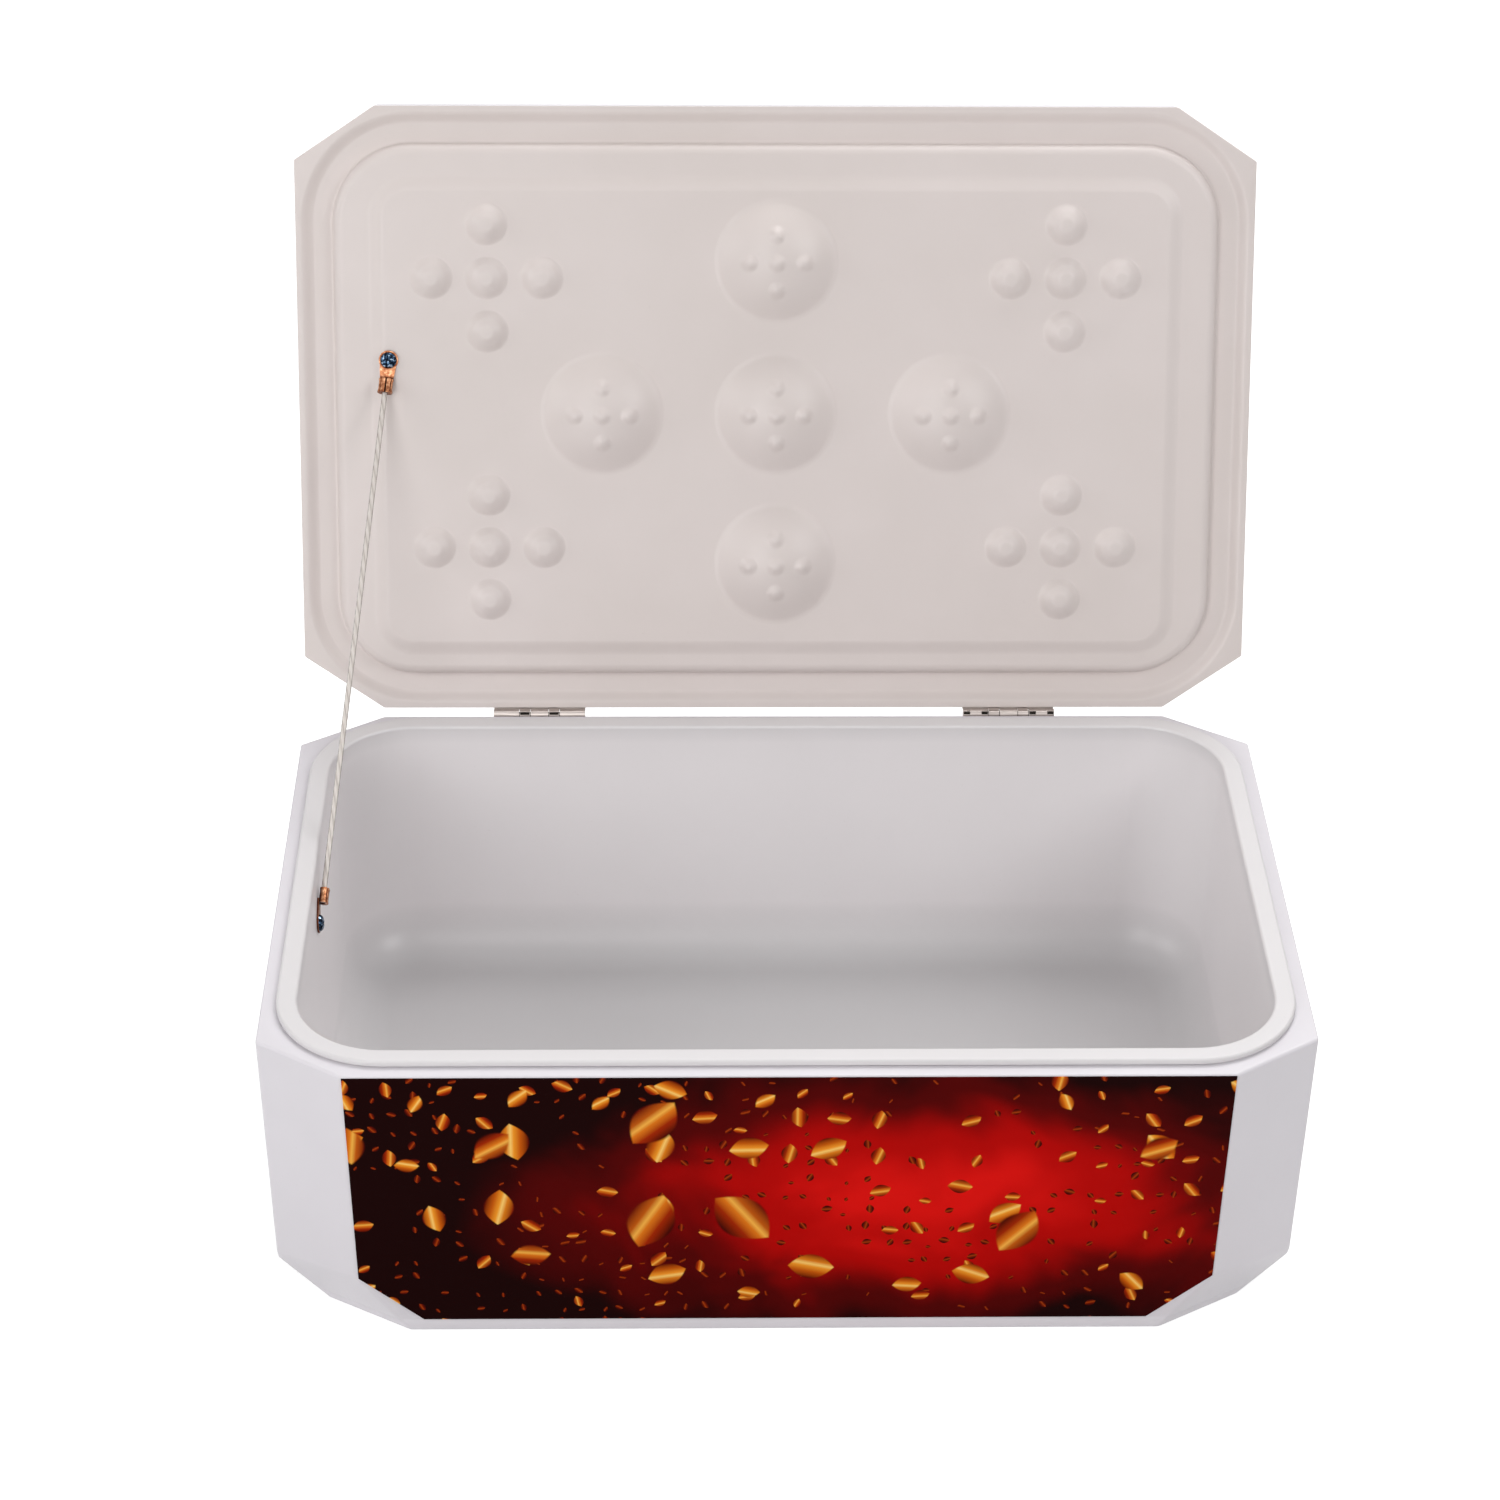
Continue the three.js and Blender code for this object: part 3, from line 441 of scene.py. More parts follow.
def soften(obj, width, marked, spared=(), segments=3):
    """Rounds the edges between marked corner numbers, by a weight that the Bevel modifier reads. An edge
    between two spared corners stays sharp."""
    mesh = obj.data
    ends = np.zeros(len(mesh.edges) * 2, np.int32)
    mesh.edges.foreach_get("vertices", ends)
    ends = ends.reshape(-1, 2)
    weight = np.isin(ends, marked).all(axis=1) & ~np.isin(ends, spared).all(axis=1)
    mesh.attributes.new("bevel_weight_edge", "FLOAT", "EDGE").data.foreach_set(
        "value", weight.astype(np.float32))
    bevel = obj.modifiers.new("soft_edges", "BEVEL")
    bevel.limit_method, bevel.width, bevel.segments = "WEIGHT", width * MM, segments
    bevel.use_clamp_overlap = False
    mesh.set_sharp_from_angle(angle=np.pi)
    even_shading(obj)


print("a round-cornered ring has", RING, "points")


# %% [markdown]
# The shell is one closed skin: the outer walls, the rim and its mouth, and the same walls again 2.5 mm
# further in. An edge at the foot stays sharp, because the tray's edge meets it there.

# %% Outer shell
def faceted_shell():
    """Outer walls, the rim with its mouth, the mouth's edge, the rim's underside, inner walls and foot."""
    wall, flange = 2.5, 3.0
    inner = body_corners(wall, shell_foot, rim_height - flange)
    mouth_grow = liner_wall + seat_gap
    mouth = [rounded(opening_half + mouth_grow, liner_radius + mouth_grow, height)
             for height in (rim_height, rim_height - flange)]
    first = 2 * BODY_POINTS
    faces = facing_out(outer, BODY_WALLS) + around_mouth(TOP_LOOP, first)
    faces += [[BODY_POINTS + k for k in face[::-1]] for face in facing_out(inner, BODY_WALLS)]
    faces += flipped(around_mouth([BODY_POINTS + k for k in TOP_LOOP], first + RING))
    faces += ring_quads(2, RING, first)
    faces += [[here, BODY_POINTS + here, BODY_POINTS + following, following]
              for here, following in zip(FOOT_LOOP, FOOT_LOOP[1:] + FOOT_LOOP[:1])]
    return np.concatenate([outer, inner, *mouth]), faces


shell = piece("faceted_shell", faceted_shell(), "base", ["outer_shell"])
soften(shell, 2.4, cap(0, BODY_POINTS), FOOT_LOOP)

# %% [markdown]
# ## The base tray
# A shallow tray closes the body below, and the cooler stands on its flat underside. It goes on the body's
# facets, so its rings are the body's own outline at each height. Only its low edges are rounded: where it
# meets the shell the two run on flush, and the seam is a hairline.

# %% Base tray
def outline_at(height, inset=0):
    """The body's eight-sided outline at a height below the bends: the foot of the body cut there."""
    return body_corners(inset, height, rim_height)[FOOT_LOOP]


tray_top, tray_wall, tray_floor = shell_foot - 0.05, 3.5, 3.0
tray_rings = [outline_at(0), outline_at(tray_top), outline_at(tray_top, tray_wall),
              outline_at(tray_floor, tray_wall)]
tray = piece("standing_tray", ring_stack(tray_rings), "base", ["base_tray"])
soften(tray, 2.4, cap(0, 16), cap(8, 8))

# %% [markdown]
# ## The tub
# The liner is one moulding: a lip that stands on the rim, walls that lean in a little so that it left its
# mould, and a wide curve into the floor. It could be a box with bevels, but the curve in the corners is a
# part of a ball only if each ring's corner radius shrinks with its inset. So each level is an inset and a
# height, and a ring's radius is the opening's less the inset.

# %% Liner
def arc_levels(inset, height, radius, start, end, steps):
    """Levels along a quarter turn: inset + radius x cos(turn), height + radius x sin(turn)."""
    turn = np.radians(np.linspace(start, end, steps + 1))
    return np.stack([inset + radius * np.cos(turn), height + radius * np.sin(turn)], axis=1)


def liner_levels():
    """From the lip's undercut foot, whose shadow draws a line round the rim, over the lip's top, down
    the wall and along the floor's curve."""
    outer_ease = arc_levels(lip_ease - lip_width, lip_top - lip_ease, lip_ease, 180, 90, 6)
    inner_ease = arc_levels(-lip_ease, lip_top - lip_ease, lip_ease, 90, 0, 6)
    fillet = arc_levels(liner_lean + floor_curve, curve_top, floor_curve, 180, 270, 18)
    undercut = [[1.0 - lip_width, rim_height + seat_gap], [1.0 - lip_width, rim_height + 1.2],
                [-lip_width, rim_height + 1.3]]
    inside = np.concatenate([undercut, outer_ease, inner_ease, fillet])
    reach = floor_curve + liner_wall
    back_fillet = arc_levels(liner_lean + floor_curve, curve_top, reach, 270, 180, 18)
    lip_root = np.array([[liner_inset(rim_height) - liner_wall, rim_height + seat_gap]])
    return inside, np.concatenate([back_fillet, lip_root])


def inset_rings(half, radius, levels):
    """Each level's ring: the rectangle moved in by the inset, with its corner radius less the inset, which
    never falls under an eighth."""
    return [rounded(half - inset, max(radius - inset, radius / 8), height) for inset, height in levels]


tub_walls = [inset_rings(opening_half, liner_radius, levels) for levels in liner_levels()]
liner = piece("tub_liner", double_wall(*tub_walls), "base", ["inner_liner"])
even_shading(liner)

# %% [markdown]
# ## The lid's cover
# The cover is the lid's outer half, a deep tray with the body's cut corners and a bevel round its top. Two
# stacks of eight-point rings make its outside and its inside.

# %% Lid cover
def cut_outline(half, cut, wall, height):
    """A rectangle with cut corners, moved in by a wall. The cut's line moves in by the same wall, so
    its ends shift by wall x (cut a + cut b - slant) over the other cut."""
    shrink = wall * (cut[0] + cut[1] - np.hypot(*cut))
    x, y = half[0] - wall, half[1] - wall
    near_x, near_y = x - cut[0] + shrink / cut[1], y - cut[1] + shrink / cut[0]
    half_round = [[x, near_y], [near_x, y], [-near_x, y], [-x, near_y]]
    other_half = [[-x, -near_y], [-near_x, -y], [near_x, -y], [x, -near_y]]
    return np.insert(half_round + other_half, 2, height, axis=1)


cover_low, top_ease, cover_wall = 225.8, 6.0, 2.5
lid_half, lid_cut = (half_length, half_depth), (cut_length, cut_depth)
cover_levels = [(0, cover_low), (0, lid_top - top_ease), (top_ease, lid_top)]
inside_levels = [(cover_wall + top_ease, lid_top - cover_wall),
                 (cover_wall, lid_top - cover_wall - top_ease), (cover_wall, cover_low)]
cover_walls = [[cut_outline(lid_half, lid_cut, wall, height) for wall, height in levels]
               for levels in (cover_levels, inside_levels)]
cover = piece("lid_top_cover", double_wall(*cover_walls), "lid", ["lid_cover"])
soften(cover, 1.6, cap(0, 24))

# %% [markdown]
# ## The lid's inner pan
# The pan is a formed sheet. Its flat edge meets the rim, a groove takes the liner's lip, a plug fills the
# opening, and the plug's middle is raised. Every step is soft, as a sheet that was drawn over a mould, so
# the levels follow arcs and S-curves rather than corners.

# %% Pan
def s_levels(half_shift, low_height, high_height, centre, steps=10):
    """Levels of an S-curve: the inset goes evenly across, the height by smoothstep."""
    share = np.linspace(0, 1, steps + 1)
    inset = centre + half_shift * (2 * share - 1)
    return np.stack([inset, low_height + (high_height - low_height) * smooth(share)], axis=1)


def pan_rings():
    """Rings of the side that shows, from the groove's mouth to the raised middle, then of the back. The
    fillet at the plug's foot is a table of insets and of heights from the groove's top."""
    groove_top, ease, sheet = 226.9, 7.5, 3.0
    mouth = lip_width + 3.8
    foot_fillet = np.array([[-2.6, 0], [-1.5, -0.15], [-0.7, -0.6], [-0.2, -1.4]])
    groove = np.concatenate([[[-mouth - sheet, lid_low]], s_levels(4.6, lid_low, groove_top, 2.0 - mouth)])
    plug = np.concatenate([foot_fillet + [0, groove_top],
                           arc_levels(ease, plug_low + ease, ease, 180, 270, 10)])
    raised = inset_rings(plateau_half, plateau_radius, s_levels(6.2, plug_low, plateau_low, 0.5))
    shown = inset_rings(opening_half, liner_radius, groove) + inset_rings(plug_half, plug_radius, plug)
    back = inset_rings(plateau_half, plateau_radius, [(sheet, plateau_low + sheet),
                                                      (sheet, plug_low + sheet)])
    back += inset_rings(plug_half, plug_radius, [(sheet, plug_low + sheet), (sheet, groove_top + sheet)])
    back += inset_rings(opening_half, liner_radius, [(-lip_width - sheet, groove_top + sheet),
                                                     (-mouth - sheet, lid_low + sheet)])
    return shown + [ring + [0, plateau_shift, 0] for ring in raised], back


def pan_shell():
    """Two outlines of eight points make the pan's edge, and the rings lie between them. The levels go
    down as they go in, so each quad is turned round."""
    shown, back = pan_rings()
    edge = [cut_outline(lid_half, lid_cut, 0, height) for height in (lid_low, lid_low + 3.0)]
    first = 2 * len(edge[0])
    middle = first + len(shown) * RING
    last = middle + (len(back) - 1) * RING
    faces = ring_quads(2, 8) + flipped(around_mouth(cap(0, 8), first)) + around_mouth(cap(8, 8), last)
    faces += flipped(ring_quads(len(shown), RING, first) + ring_quads(len(back), RING, middle))
    faces += [cap(middle - RING, RING)[::-1], cap(middle, RING)]
    return np.concatenate(edge + shown + back), faces


pan = piece("lid_inner_pan", pan_shell(), "lid", ["lid_pan"])
soften(pan, 0.8, cap(0, 16), segments=2)

# %% [markdown]
# ## Domes and bumps
# Five large domes stand on the raised middle in a cross, each with a cross of five pips on it, and there
# are four crosses of small stepped bumps in the corners. A displaced grid would need millions of faces to
# keep them round, so each is a disc of rings round its own middle, lifted by a height function. Where a
# dome meets the sheet, its height is a smooth maximum of ball and flat, which leaves a soft fillet, and a
# window brings it to nothing at the disc's edge.

# %% Buttons on a surface
def button(height_of, radius, rings, sides, skirt):
    """A closed button: height_of(x, y) over a disc of rings, then straight down to -skirt."""
    reach = radius * np.arange(1, rings + 1)[:, None] / rings
    turn = 2 * np.pi * np.arange(sides) / sides
    x = np.concatenate([[0], (reach * np.cos(turn)).ravel()])
    y = np.concatenate([[0], (reach * np.sin(turn)).ravel()])
    top = np.stack([x, y, height_of(x, y)], axis=1)
    foot = top[-sides:] * [1, 1, 0] - [0, 0, skirt]
    fan = [[0, 1 + k, 1 + (k + 1) % sides] for k in range(sides)]
    faces = fan + flipped(ring_quads(rings + 1, sides, 1)) + [cap(len(top), sides)[::-1]]
    return np.concatenate([top, foot]), faces


def cross_of(pitch_x, pitch_y):
    """The middle of a cross and its four arms."""
    return np.array([[0, 0], [-pitch_x, 0], [pitch_x, 0], [0, -pitch_y], [0, pitch_y]], float)


dome_reach, dome_rise, dome_span, fillet = 42.0, 16.0, 48.5, 3.2
dome_ball = (dome_reach ** 2 + dome_rise ** 2) / (2 * dome_rise)
pip_reach, pip_rise, pip_pitch = 7.6, 2.9, 21.0
bump_reach, bump_rise = 16.5, 7.6


def dome_height(x, y):
    """Smooth maximum of the ball's height and zero, (h + root(h^2 + fillet^2)) / 2, times the window,
    plus five pips: each is pip rise x smoothstep of how far inside its edge a point lies."""
    ball = np.sqrt(np.maximum(dome_ball ** 2 - x ** 2 - y ** 2, 0)) - dome_ball + dome_rise
    window = smooth((dome_span - np.hypot(x, y)) / 8)
    height = window * (ball + np.sqrt(ball ** 2 + fillet ** 2)) / 2 - 0.05
    pips = cross_of(pip_pitch, pip_pitch)
    offset = np.hypot(x - pips[:, :1], y - pips[:, 1:])
    return height + pip_rise * smooth((pip_reach - offset) / (0.9 * pip_reach)).sum(axis=0)


def bump_height(x, y):
    """A wide low step and a cap on it, each a smoothstep of how far inside its edge a point lies. The
    cap's slope starts before the step's ends, so that only a soft shoulder is left between them."""
    reach = np.hypot(x, y)
    step, head = smooth((bump_reach - reach) / 6.5), smooth((12.6 - reach) / 8.5)
    return bump_rise * (step + head) / 2 - 0.05


hanging = np.diag([1.0, -1.0, -1.0])


def hung(shell_and_faces, places):
    """Copies of a button that hang from the raised middle of the shut lid."""
    points, faces = shell_and_faces
    return merged(*[(placed(points, (hanging, np.array([x, y, plateau_low]))), faces) for x, y in places])


dome_places = cross_of(131.0, 114.5)
bump_middles = np.array([[-217, -102], [217, -102], [-217, 102], [217, 102]], float)
bump_places = (bump_middles[:, None] + cross_of(41.5, 40.0)).reshape(-1, 2)
domes = piece("lid_domes", hung(button(dome_height, dome_span, rings=56, sides=144, skirt=1.0), dome_places),
              "lid", ["lid_pan"], crease=70)
bumps = piece("lid_bumps", hung(button(bump_height, 16.6, rings=24, sides=48, skirt=1.0), bump_places),
              "lid", ["lid_pan"], crease=70)

# %% [markdown]
# ## Butt hinges
# Two stainless butt hinges are screwed to the rear faces. A leaf is a sheet with three countersunk holes,
# and its knuckles are the same sheet curled round the pin. A plate with holes is split into cells, one a
# hole: the points of a cell's outline, seen from the hole's middle, give the hole's points. Some knuckles
# have slots through which the dark pin shows, and the two hinges have theirs in different places.

# %% Hinge leaves
hinge_half, leaf_sheet, leaf_width, leaf_corner, leaf_screw_row = 35.0, 1.4, 29.0, 3.0, 19.0
leaf_seam, leaf_holes, leaf_sink, hinge_offset = 12.5, (-25.0, 0.0, 25.0), (3.7, 2.05), 180.5
knuckle_clear, knuckle_gap, knuckle_path = 4.8, 0.25, 3.3
leaf_near = half_depth + seat_gap - hinge_axis[1]
knuckle_ends = hinge_half * (2 * np.cumsum([0, 0.28, 0.12, 0.2, 0.12, 0.28]) - 1)


def drilled_cell(outline, centre, top_radius, foot_radius, thickness):
    """A plate from height 0 up to thickness with a tapered hole: hole point = centre + radius x the
    direction to the outline's point. Rings go down the outline, in to the hole and up again."""
    away = unit(outline - centre)
    rings = [(outline, thickness), (outline, 0), (centre + foot_radius * away, 0),
             (centre + top_radius * away, thickness)]
    points, faces = ring_stack([np.insert(ring, 2, height, axis=1) for ring, height in rings], True)
    return points, flipped(faces)


def leaf_cell(low, high, hole):
    """A rectangle of the leaf with 8 points a side, whose far corners at the leaf's ends are round."""
    across, out = np.linspace(low, high, 9), np.linspace(knuckle_clear, leaf_width, 9)
    x = np.concatenate([across[:-1], np.full(8, high), across[:0:-1], np.full(8, low)])
    y = np.concatenate([np.full(8, knuckle_clear), out[:-1], np.full(8, leaf_width), out[:0:-1]])
    outline = np.stack([x, y], axis=1)
    for side, end in ((-1, low), (1, high)):
        if abs(end) == hinge_half:
            middle = np.array([end - side * leaf_corner, leaf_width - leaf_corner])
            offset = outline - middle
            in_corner = (offset[:, 0] * side > 0) & (offset[:, 1] > 0)
            reach = np.maximum(np.linalg.norm(offset, axis=1, keepdims=True), 1e-6)
            outline = np.where(in_corner[:, None], middle + offset * leaf_corner / reach, outline)
    return drilled_cell(outline, np.array([hole, leaf_screw_row]), *leaf_sink, leaf_sheet)


def knuckle_stations(side, direction, low, high, edge=0.3, reach=5.3):
    """Where along the pin a knuckle changes between whole and slotted. The left hinge has a slot in each
    of the lid's knuckles, and the right hinge has one near both ends of the body's two long ones."""
    if side < 0 < direction:
        return low, low + edge, high - edge, high
    if direction < 0 < side and high - low > 3 * reach:
        return low, low + edge, low + reach, high - reach, high - edge, high
    return low, high


def curl(stations, half_sheet, slot):
    """The sheet's path comes down from the leaf and goes round the pin; point k of it lies at 165 + 5 k
    degrees. Its two sides, half the thickness to each side of it, are carried from station to station.
    Each second stretch has a slot: the path is left out between the slot's two points."""
    turn = np.radians(np.linspace(180, 505, 66))
    straight = np.array([[leaf_near + leaf_sheet / 2, knuckle_clear], [-3.75, 3.6], [-3.6, 2.0]])
    path = np.concatenate([straight, knuckle_path * np.stack([np.cos(turn), np.sin(turn)], 1)])
    half = np.concatenate([[0.7, 0.75, 0.88], np.full(len(turn), half_sheet)])[:, None]
    way = np.gradient(path, axis=0)
    across = half * unit(np.stack([-way[:, 1], way[:, 0]], 1))
    section = np.concatenate([path + across, (path - across)[::-1]])
    count, last = len(section), len(section) * (len(stations) - 1)
    points = np.concatenate([np.insert(section, 0, x, axis=1) for x in stations])
    start, end = slot
    i = np.arange(count)
    left_out = ((i >= start) & (i < end)) | ((i >= count - 1 - end) & (i < count - 1 - start))
    slotted = np.arange(len(stations) - 1)[:, None] % 2 == 1
    quads = np.reshape(ring_quads(len(stations), count), (-1, count, 4))
    faces = quads[~(left_out & slotted)].tolist() + [cap(0, count)[::-1], cap(last, count)]
    gap = list(range(start, end + 1)) + list(range(count - 1 - end, count - start))
    for near in range(count, last, 2 * count):
        far = near + count
        faces += [[near + k for k in gap], [far + k for k in gap[::-1]]]
        faces += [[near + a, near + b, far + b, far + a]
                  for a, b in ((start, count - 1 - start), (count - 1 - end, end))]
    return points, flipped(faces)


def leaf_plate():
    """Three cells side by side. The walls between them are left out and their points made one."""
    edges = (-hinge_half, -leaf_seam, leaf_seam, hinge_half)
    points, faces = merged(*[leaf_cell(*cell) for cell in zip(edges, edges[1:], leaf_holes)])
    on_seam = np.isclose(abs(points[:, 0]), leaf_seam)
    faces = [face for face in faces if not on_seam[face].all()]
    points, number = np.unique(points.round(6), axis=0, return_inverse=True)
    faces = number.ravel()[np.array(faces)].tolist()
    return np.stack([points[:, 0], leaf_near + points[:, 2], points[:, 1]], 1), flipped(faces)


def hinge_at(side, points):
    """Points round the pin's axis, moved to the left hinge (side -1) or the right one (side 1)."""
    return points + hinge_axis + [side * hinge_offset, 0, 0]


def leaf_shell(side, direction):
    """One leaf of a hinge. The lid's leaf (direction 1) goes up and has knuckles 2 and 4, of thinner
    sheet. The body's leaf (direction -1) is its mirror image with 1, 3 and 5."""
    own = [(1, 2), (3, 4)] if direction > 0 else [(0, 1), (2, 3), (4, 5)]
    half_sheet, slot = (0.55, (12, 19)) if direction > 0 else (1.0, (9, 16))
    curls = []
    for start, end in own:
        low = knuckle_ends[start] + (knuckle_gap if start > 0 else 0)
        high = knuckle_ends[end] - (knuckle_gap if end < 5 else 0)
        curls.append(curl(knuckle_stations(side, direction, low, high), half_sheet, slot))
    points, faces = merged(leaf_plate(), *curls)
    if direction < 0:
        points, faces = points * [1, 1, -1], flipped(faces)
    return hinge_at(side, points), faces


hinge_sides = {"left": -1, "right": 1}
each_leaf = [(name, side, owner, direction) for name, side in hinge_sides.items()
             for owner, direction in (("base", -1), ("lid", 1))]
leaves = [piece(f"{name}_{owner}_hinge_leaf", leaf_shell(side, direction), owner,
                [f"hinge_{name}_{owner}_leaf"]) for name, side, owner, direction in each_leaf]

# %% [markdown]
# ## Screws
# Every screw here has a cross recess. The recess is part of the head's height function: it is deep where
# a point is near one of two crossing lines and inside the recess's reach. The hinge screws have flat
# heads, and the lug screws have round ones.

# %% Screw heads
def cross_recess(x, y, reach, half_width, depth):
    """Depth x (near an arm's line) x (inside the reach), both by smoothstep, less towards the ends."""
    near, far = np.minimum(abs(x), abs(y)), np.maximum(abs(x), abs(y))
    arm = smooth((half_width - near) / 0.35 + 0.5) * smooth((reach - far) / 0.5)
    return depth * arm * (1 - 0.55 * far / reach)


def flat_head(x, y):
    """Slightly domed, 0.15 mm proud in the middle, with a rounded rim and the recess."""
    reach = np.hypot(x, y)
    head = 0.15 - 0.012 * reach ** 2 - 0.25 * smooth((reach - 2.9) / 0.6)
    return head - cross_recess(x, y, 2.1, 0.42, 1.0)


lug_head_radius, lug_head_rise = 6.1, 3.0


def pan_head(x, y):
    """A round head, rise x root(1 - (reach / radius)^2.6), which is flatter on top than a ball, with the
    recess."""
    reach = np.hypot(x, y)
    dome = lug_head_rise * np.maximum(1 - (reach / lug_head_radius) ** 2.6, 0) ** 0.5
    return dome - cross_recess(x, y, 3.6, 0.75, 2.2)


def hinge_screws(side, direction):
    """Three flat heads in the leaf's countersinks. Their tops look into the body, so that from the rear
    each shows its plain foot, 1.1 mm proud of the leaf."""
    facing = np.array([[1.0, 0, 0], [0, 0, 1.0], [0, -1.0, 0]])
    points, faces = button(flat_head, 3.4, rings=17, sides=56, skirt=1.2)
    places = [np.array([x, leaf_near + leaf_sheet - 0.1, direction * leaf_screw_row]) for x in leaf_holes]
    points, faces = merged(*[(placed(points, (facing.T, spot)), faces) for spot in places])
    return hinge_at(side, points), faces


screws = [piece(f"{name}_{owner}_hinge_screws", hinge_screws(side, direction), owner,
                [f"hinge_{name}_{owner}_screw_{number}" for number in (1, 2, 3)], crease=50)
          for name, side, owner, direction in each_leaf]
pin_ease, pin_radius, pin_points = 0.7, 2.25, 32


def pin_shell(side):
    """A rod along X whose ends are domed: over a quarter turn, the ease x cos along the rod and the
    radius x sin across it. One end's stations are mirrored for the other."""
    turn = np.linspace(0, np.pi / 2, 6)[:-1]
    ends = np.append(hinge_half - pin_ease + pin_ease * np.cos(turn), hinge_half - 1)
    radii = pin_radius * np.append(np.sin(turn) + 0.02, 1)
    angle = 2 * np.pi * np.arange(pin_points) / pin_points
    circle = np.stack([np.cos(angle), np.sin(angle)], axis=1)
    points, faces = ring_stack([np.insert(radius * circle, 0, x, axis=1) for x, radius in
                                zip(np.append(-ends, ends[::-1]), np.append(radii, radii[::-1]))])
    return hinge_at(side, points), faces


pins = [piece(f"{name}_hinge_rod", pin_shell(side), "base", [f"hinge_{name}_pin"])
        for name, side in hinge_sides.items()]

# %% [markdown]
# ## Lugs and their screws
# A lug is stamped from copper sheet: a ring for the screw, a tongue, and two ears that were folded over
# the cable and crimped. The crimp's section is two round lobes on a flat bed, like a letter B on its back.
# Seen from the bore, each lobe's outline is a distance for each direction, so the larger of the two
# distances, cut off at the bed, gives the section as one ring of points.

# %% Lugs
lug_ring, lug_sheet, tongue_half, bore_radius, bore_depth = 7.3, 1.2, 4.67, 2.15, 4.0


def lug_plate():
    """The outline is the ring's arc from where the tongue leaves it, and the tongue's two far corners."""
    reach = tongue_length + barrel_foot
    turn = np.radians(np.linspace(57.3, 302.7, 49))
    arc = lug_ring * np.stack([np.cos(turn), np.sin(turn)], 1)
    corners = [arc[-1], np.array([reach, -tongue_half]), np.array([reach, tongue_half]), arc[0]]
    steps = np.linspace(0, 1, 7)[1:, None]
    sides = [start + (end - start) * steps for start, end in zip(corners, corners[1:])]
    outline = np.concatenate([arc, *sides])[:-1]
    points, faces = drilled_cell(outline, np.zeros(2), 2.5, 2.5, lug_sheet)
    return points + [0, 0, seat_gap], faces


def crimp_section(count=144):
    """Distance to the edge of a circle with middle m and radius r, seen along u from inside it:
    u . m + root((u . m)^2 - m . m + r^2). The larger of two such distances is kept, and the crimping
    tool's marks are three grooves in it: less 0.9 exp(-((turn - mark) / 0.09)^2) at each mark."""
    turn = 2 * np.pi * np.arange(count) / count
    way = np.stack([np.cos(turn), np.sin(turn)], 1)
    middles = np.array([[-2.2, 0.7], [2.2, 0.7]])
    shadow = way @ middles.T
    distance = (shadow + np.sqrt(shadow ** 2 - (middles ** 2).sum(1) + 3.2 ** 2)).max(axis=1)
    marks = np.radians([38.0, 90.0, 142.0])
    distance = distance - 0.9 * np.exp(-((turn[:, None] - marks) / 0.09) ** 2).sum(axis=1)
    return np.maximum(way * distance[:, None], [-np.inf, 0.05 - barrel_foot])


def crimp_shell():
    """The section carried along the cable, wider at both mouths, and a bore that the cable enters. A
    station is a place along the crimp and how much the section grows there."""
    section = crimp_section()
    bore = unit(section) * bore_radius
    mouth = [(0.0, 1.02), (0.5, 1.06), (1.3, 1.02), (2.4, 0.98)]
    stations = mouth + [(barrel_length - x, grow) for x, grow in mouth[::-1]]
    rings = [np.insert(bore, 0, x, axis=1) for x in (bore_depth, 0.0)]
    rings += [np.insert(section * grow, 0, x, axis=1) for x, grow in stations]
    rings += [np.insert(bore, 0, x, axis=1) for x in (barrel_length, barrel_length - bore_depth)]
    return ring_stack(rings)


def lug_shell(lug_frame, target):
    """The plate, and the crimp aimed along the cable from the tongue's end."""
    along = unit(target - barrel_start)
    across = unit(np.cross([0, 0, 1.0], along))
    aim = (np.stack([along, across, np.cross(along, across)], axis=1), barrel_start)
    crimp, crimp_faces = crimp_shell()
    points, faces = merged(lug_plate(), (placed(crimp, aim), crimp_faces))
    return placed(points, lug_frame), faces


def lug_screw_shell(lug_frame):
    """A round head on the lug's plate, a seat's gap above it."""
    points, faces = button(pan_head, lug_head_radius, rings=28, sides=72, skirt=seat_gap)
    return placed(points + [0, 0, seat_gap + lug_sheet + seat_gap], lug_frame), faces


ends = [("wall", "base", wall_frame, in_frame(lid_barrel, wall_frame)),
        ("lid", "lid", lid_frame, in_frame(shut(wall_barrel), lid_frame))]
lugs = [piece(f"{end}_lug_crimp", lug_shell(own_frame, target), owner, [f"lanyard_{end}_lug"],
              crease=40) for end, owner, own_frame, target in ends]
lug_screws = [piece(f"{end}_lug_screw", lug_screw_shell(own_frame), owner,
                    [f"lanyard_{end}_screw"], crease=50) for end, owner, own_frame, target in ends]

# %% [markdown]
# ## Finishes
# Each finish starts from what the material is and how its surface was made. Colours are written as sRGB
# codes, which is how a picture shows them, and turned to linear light for the shader. Patterns read Object
# coordinates, which are metres here, so a pattern of 3 mm has a scale of 1000 / 3. A node's inputs are given
# by name or in order. For a MapRange the order is the value, the two ends of its range, and the two ends
# that they are mapped to.

# %% Node helpers
def linear(code):
    """sRGB to linear light: (c / 12.92) up to 0.04045, and ((c + 0.055) / 1.055)^2.4 above."""
    share = np.array([int(code[k:k + 2], 16) for k in (1, 3, 5)]) / 255
    light = np.where(share <= 0.04045, share / 12.92, ((share + 0.055) / 1.055) ** 2.4)
    return (*light.tolist(), 1.0)


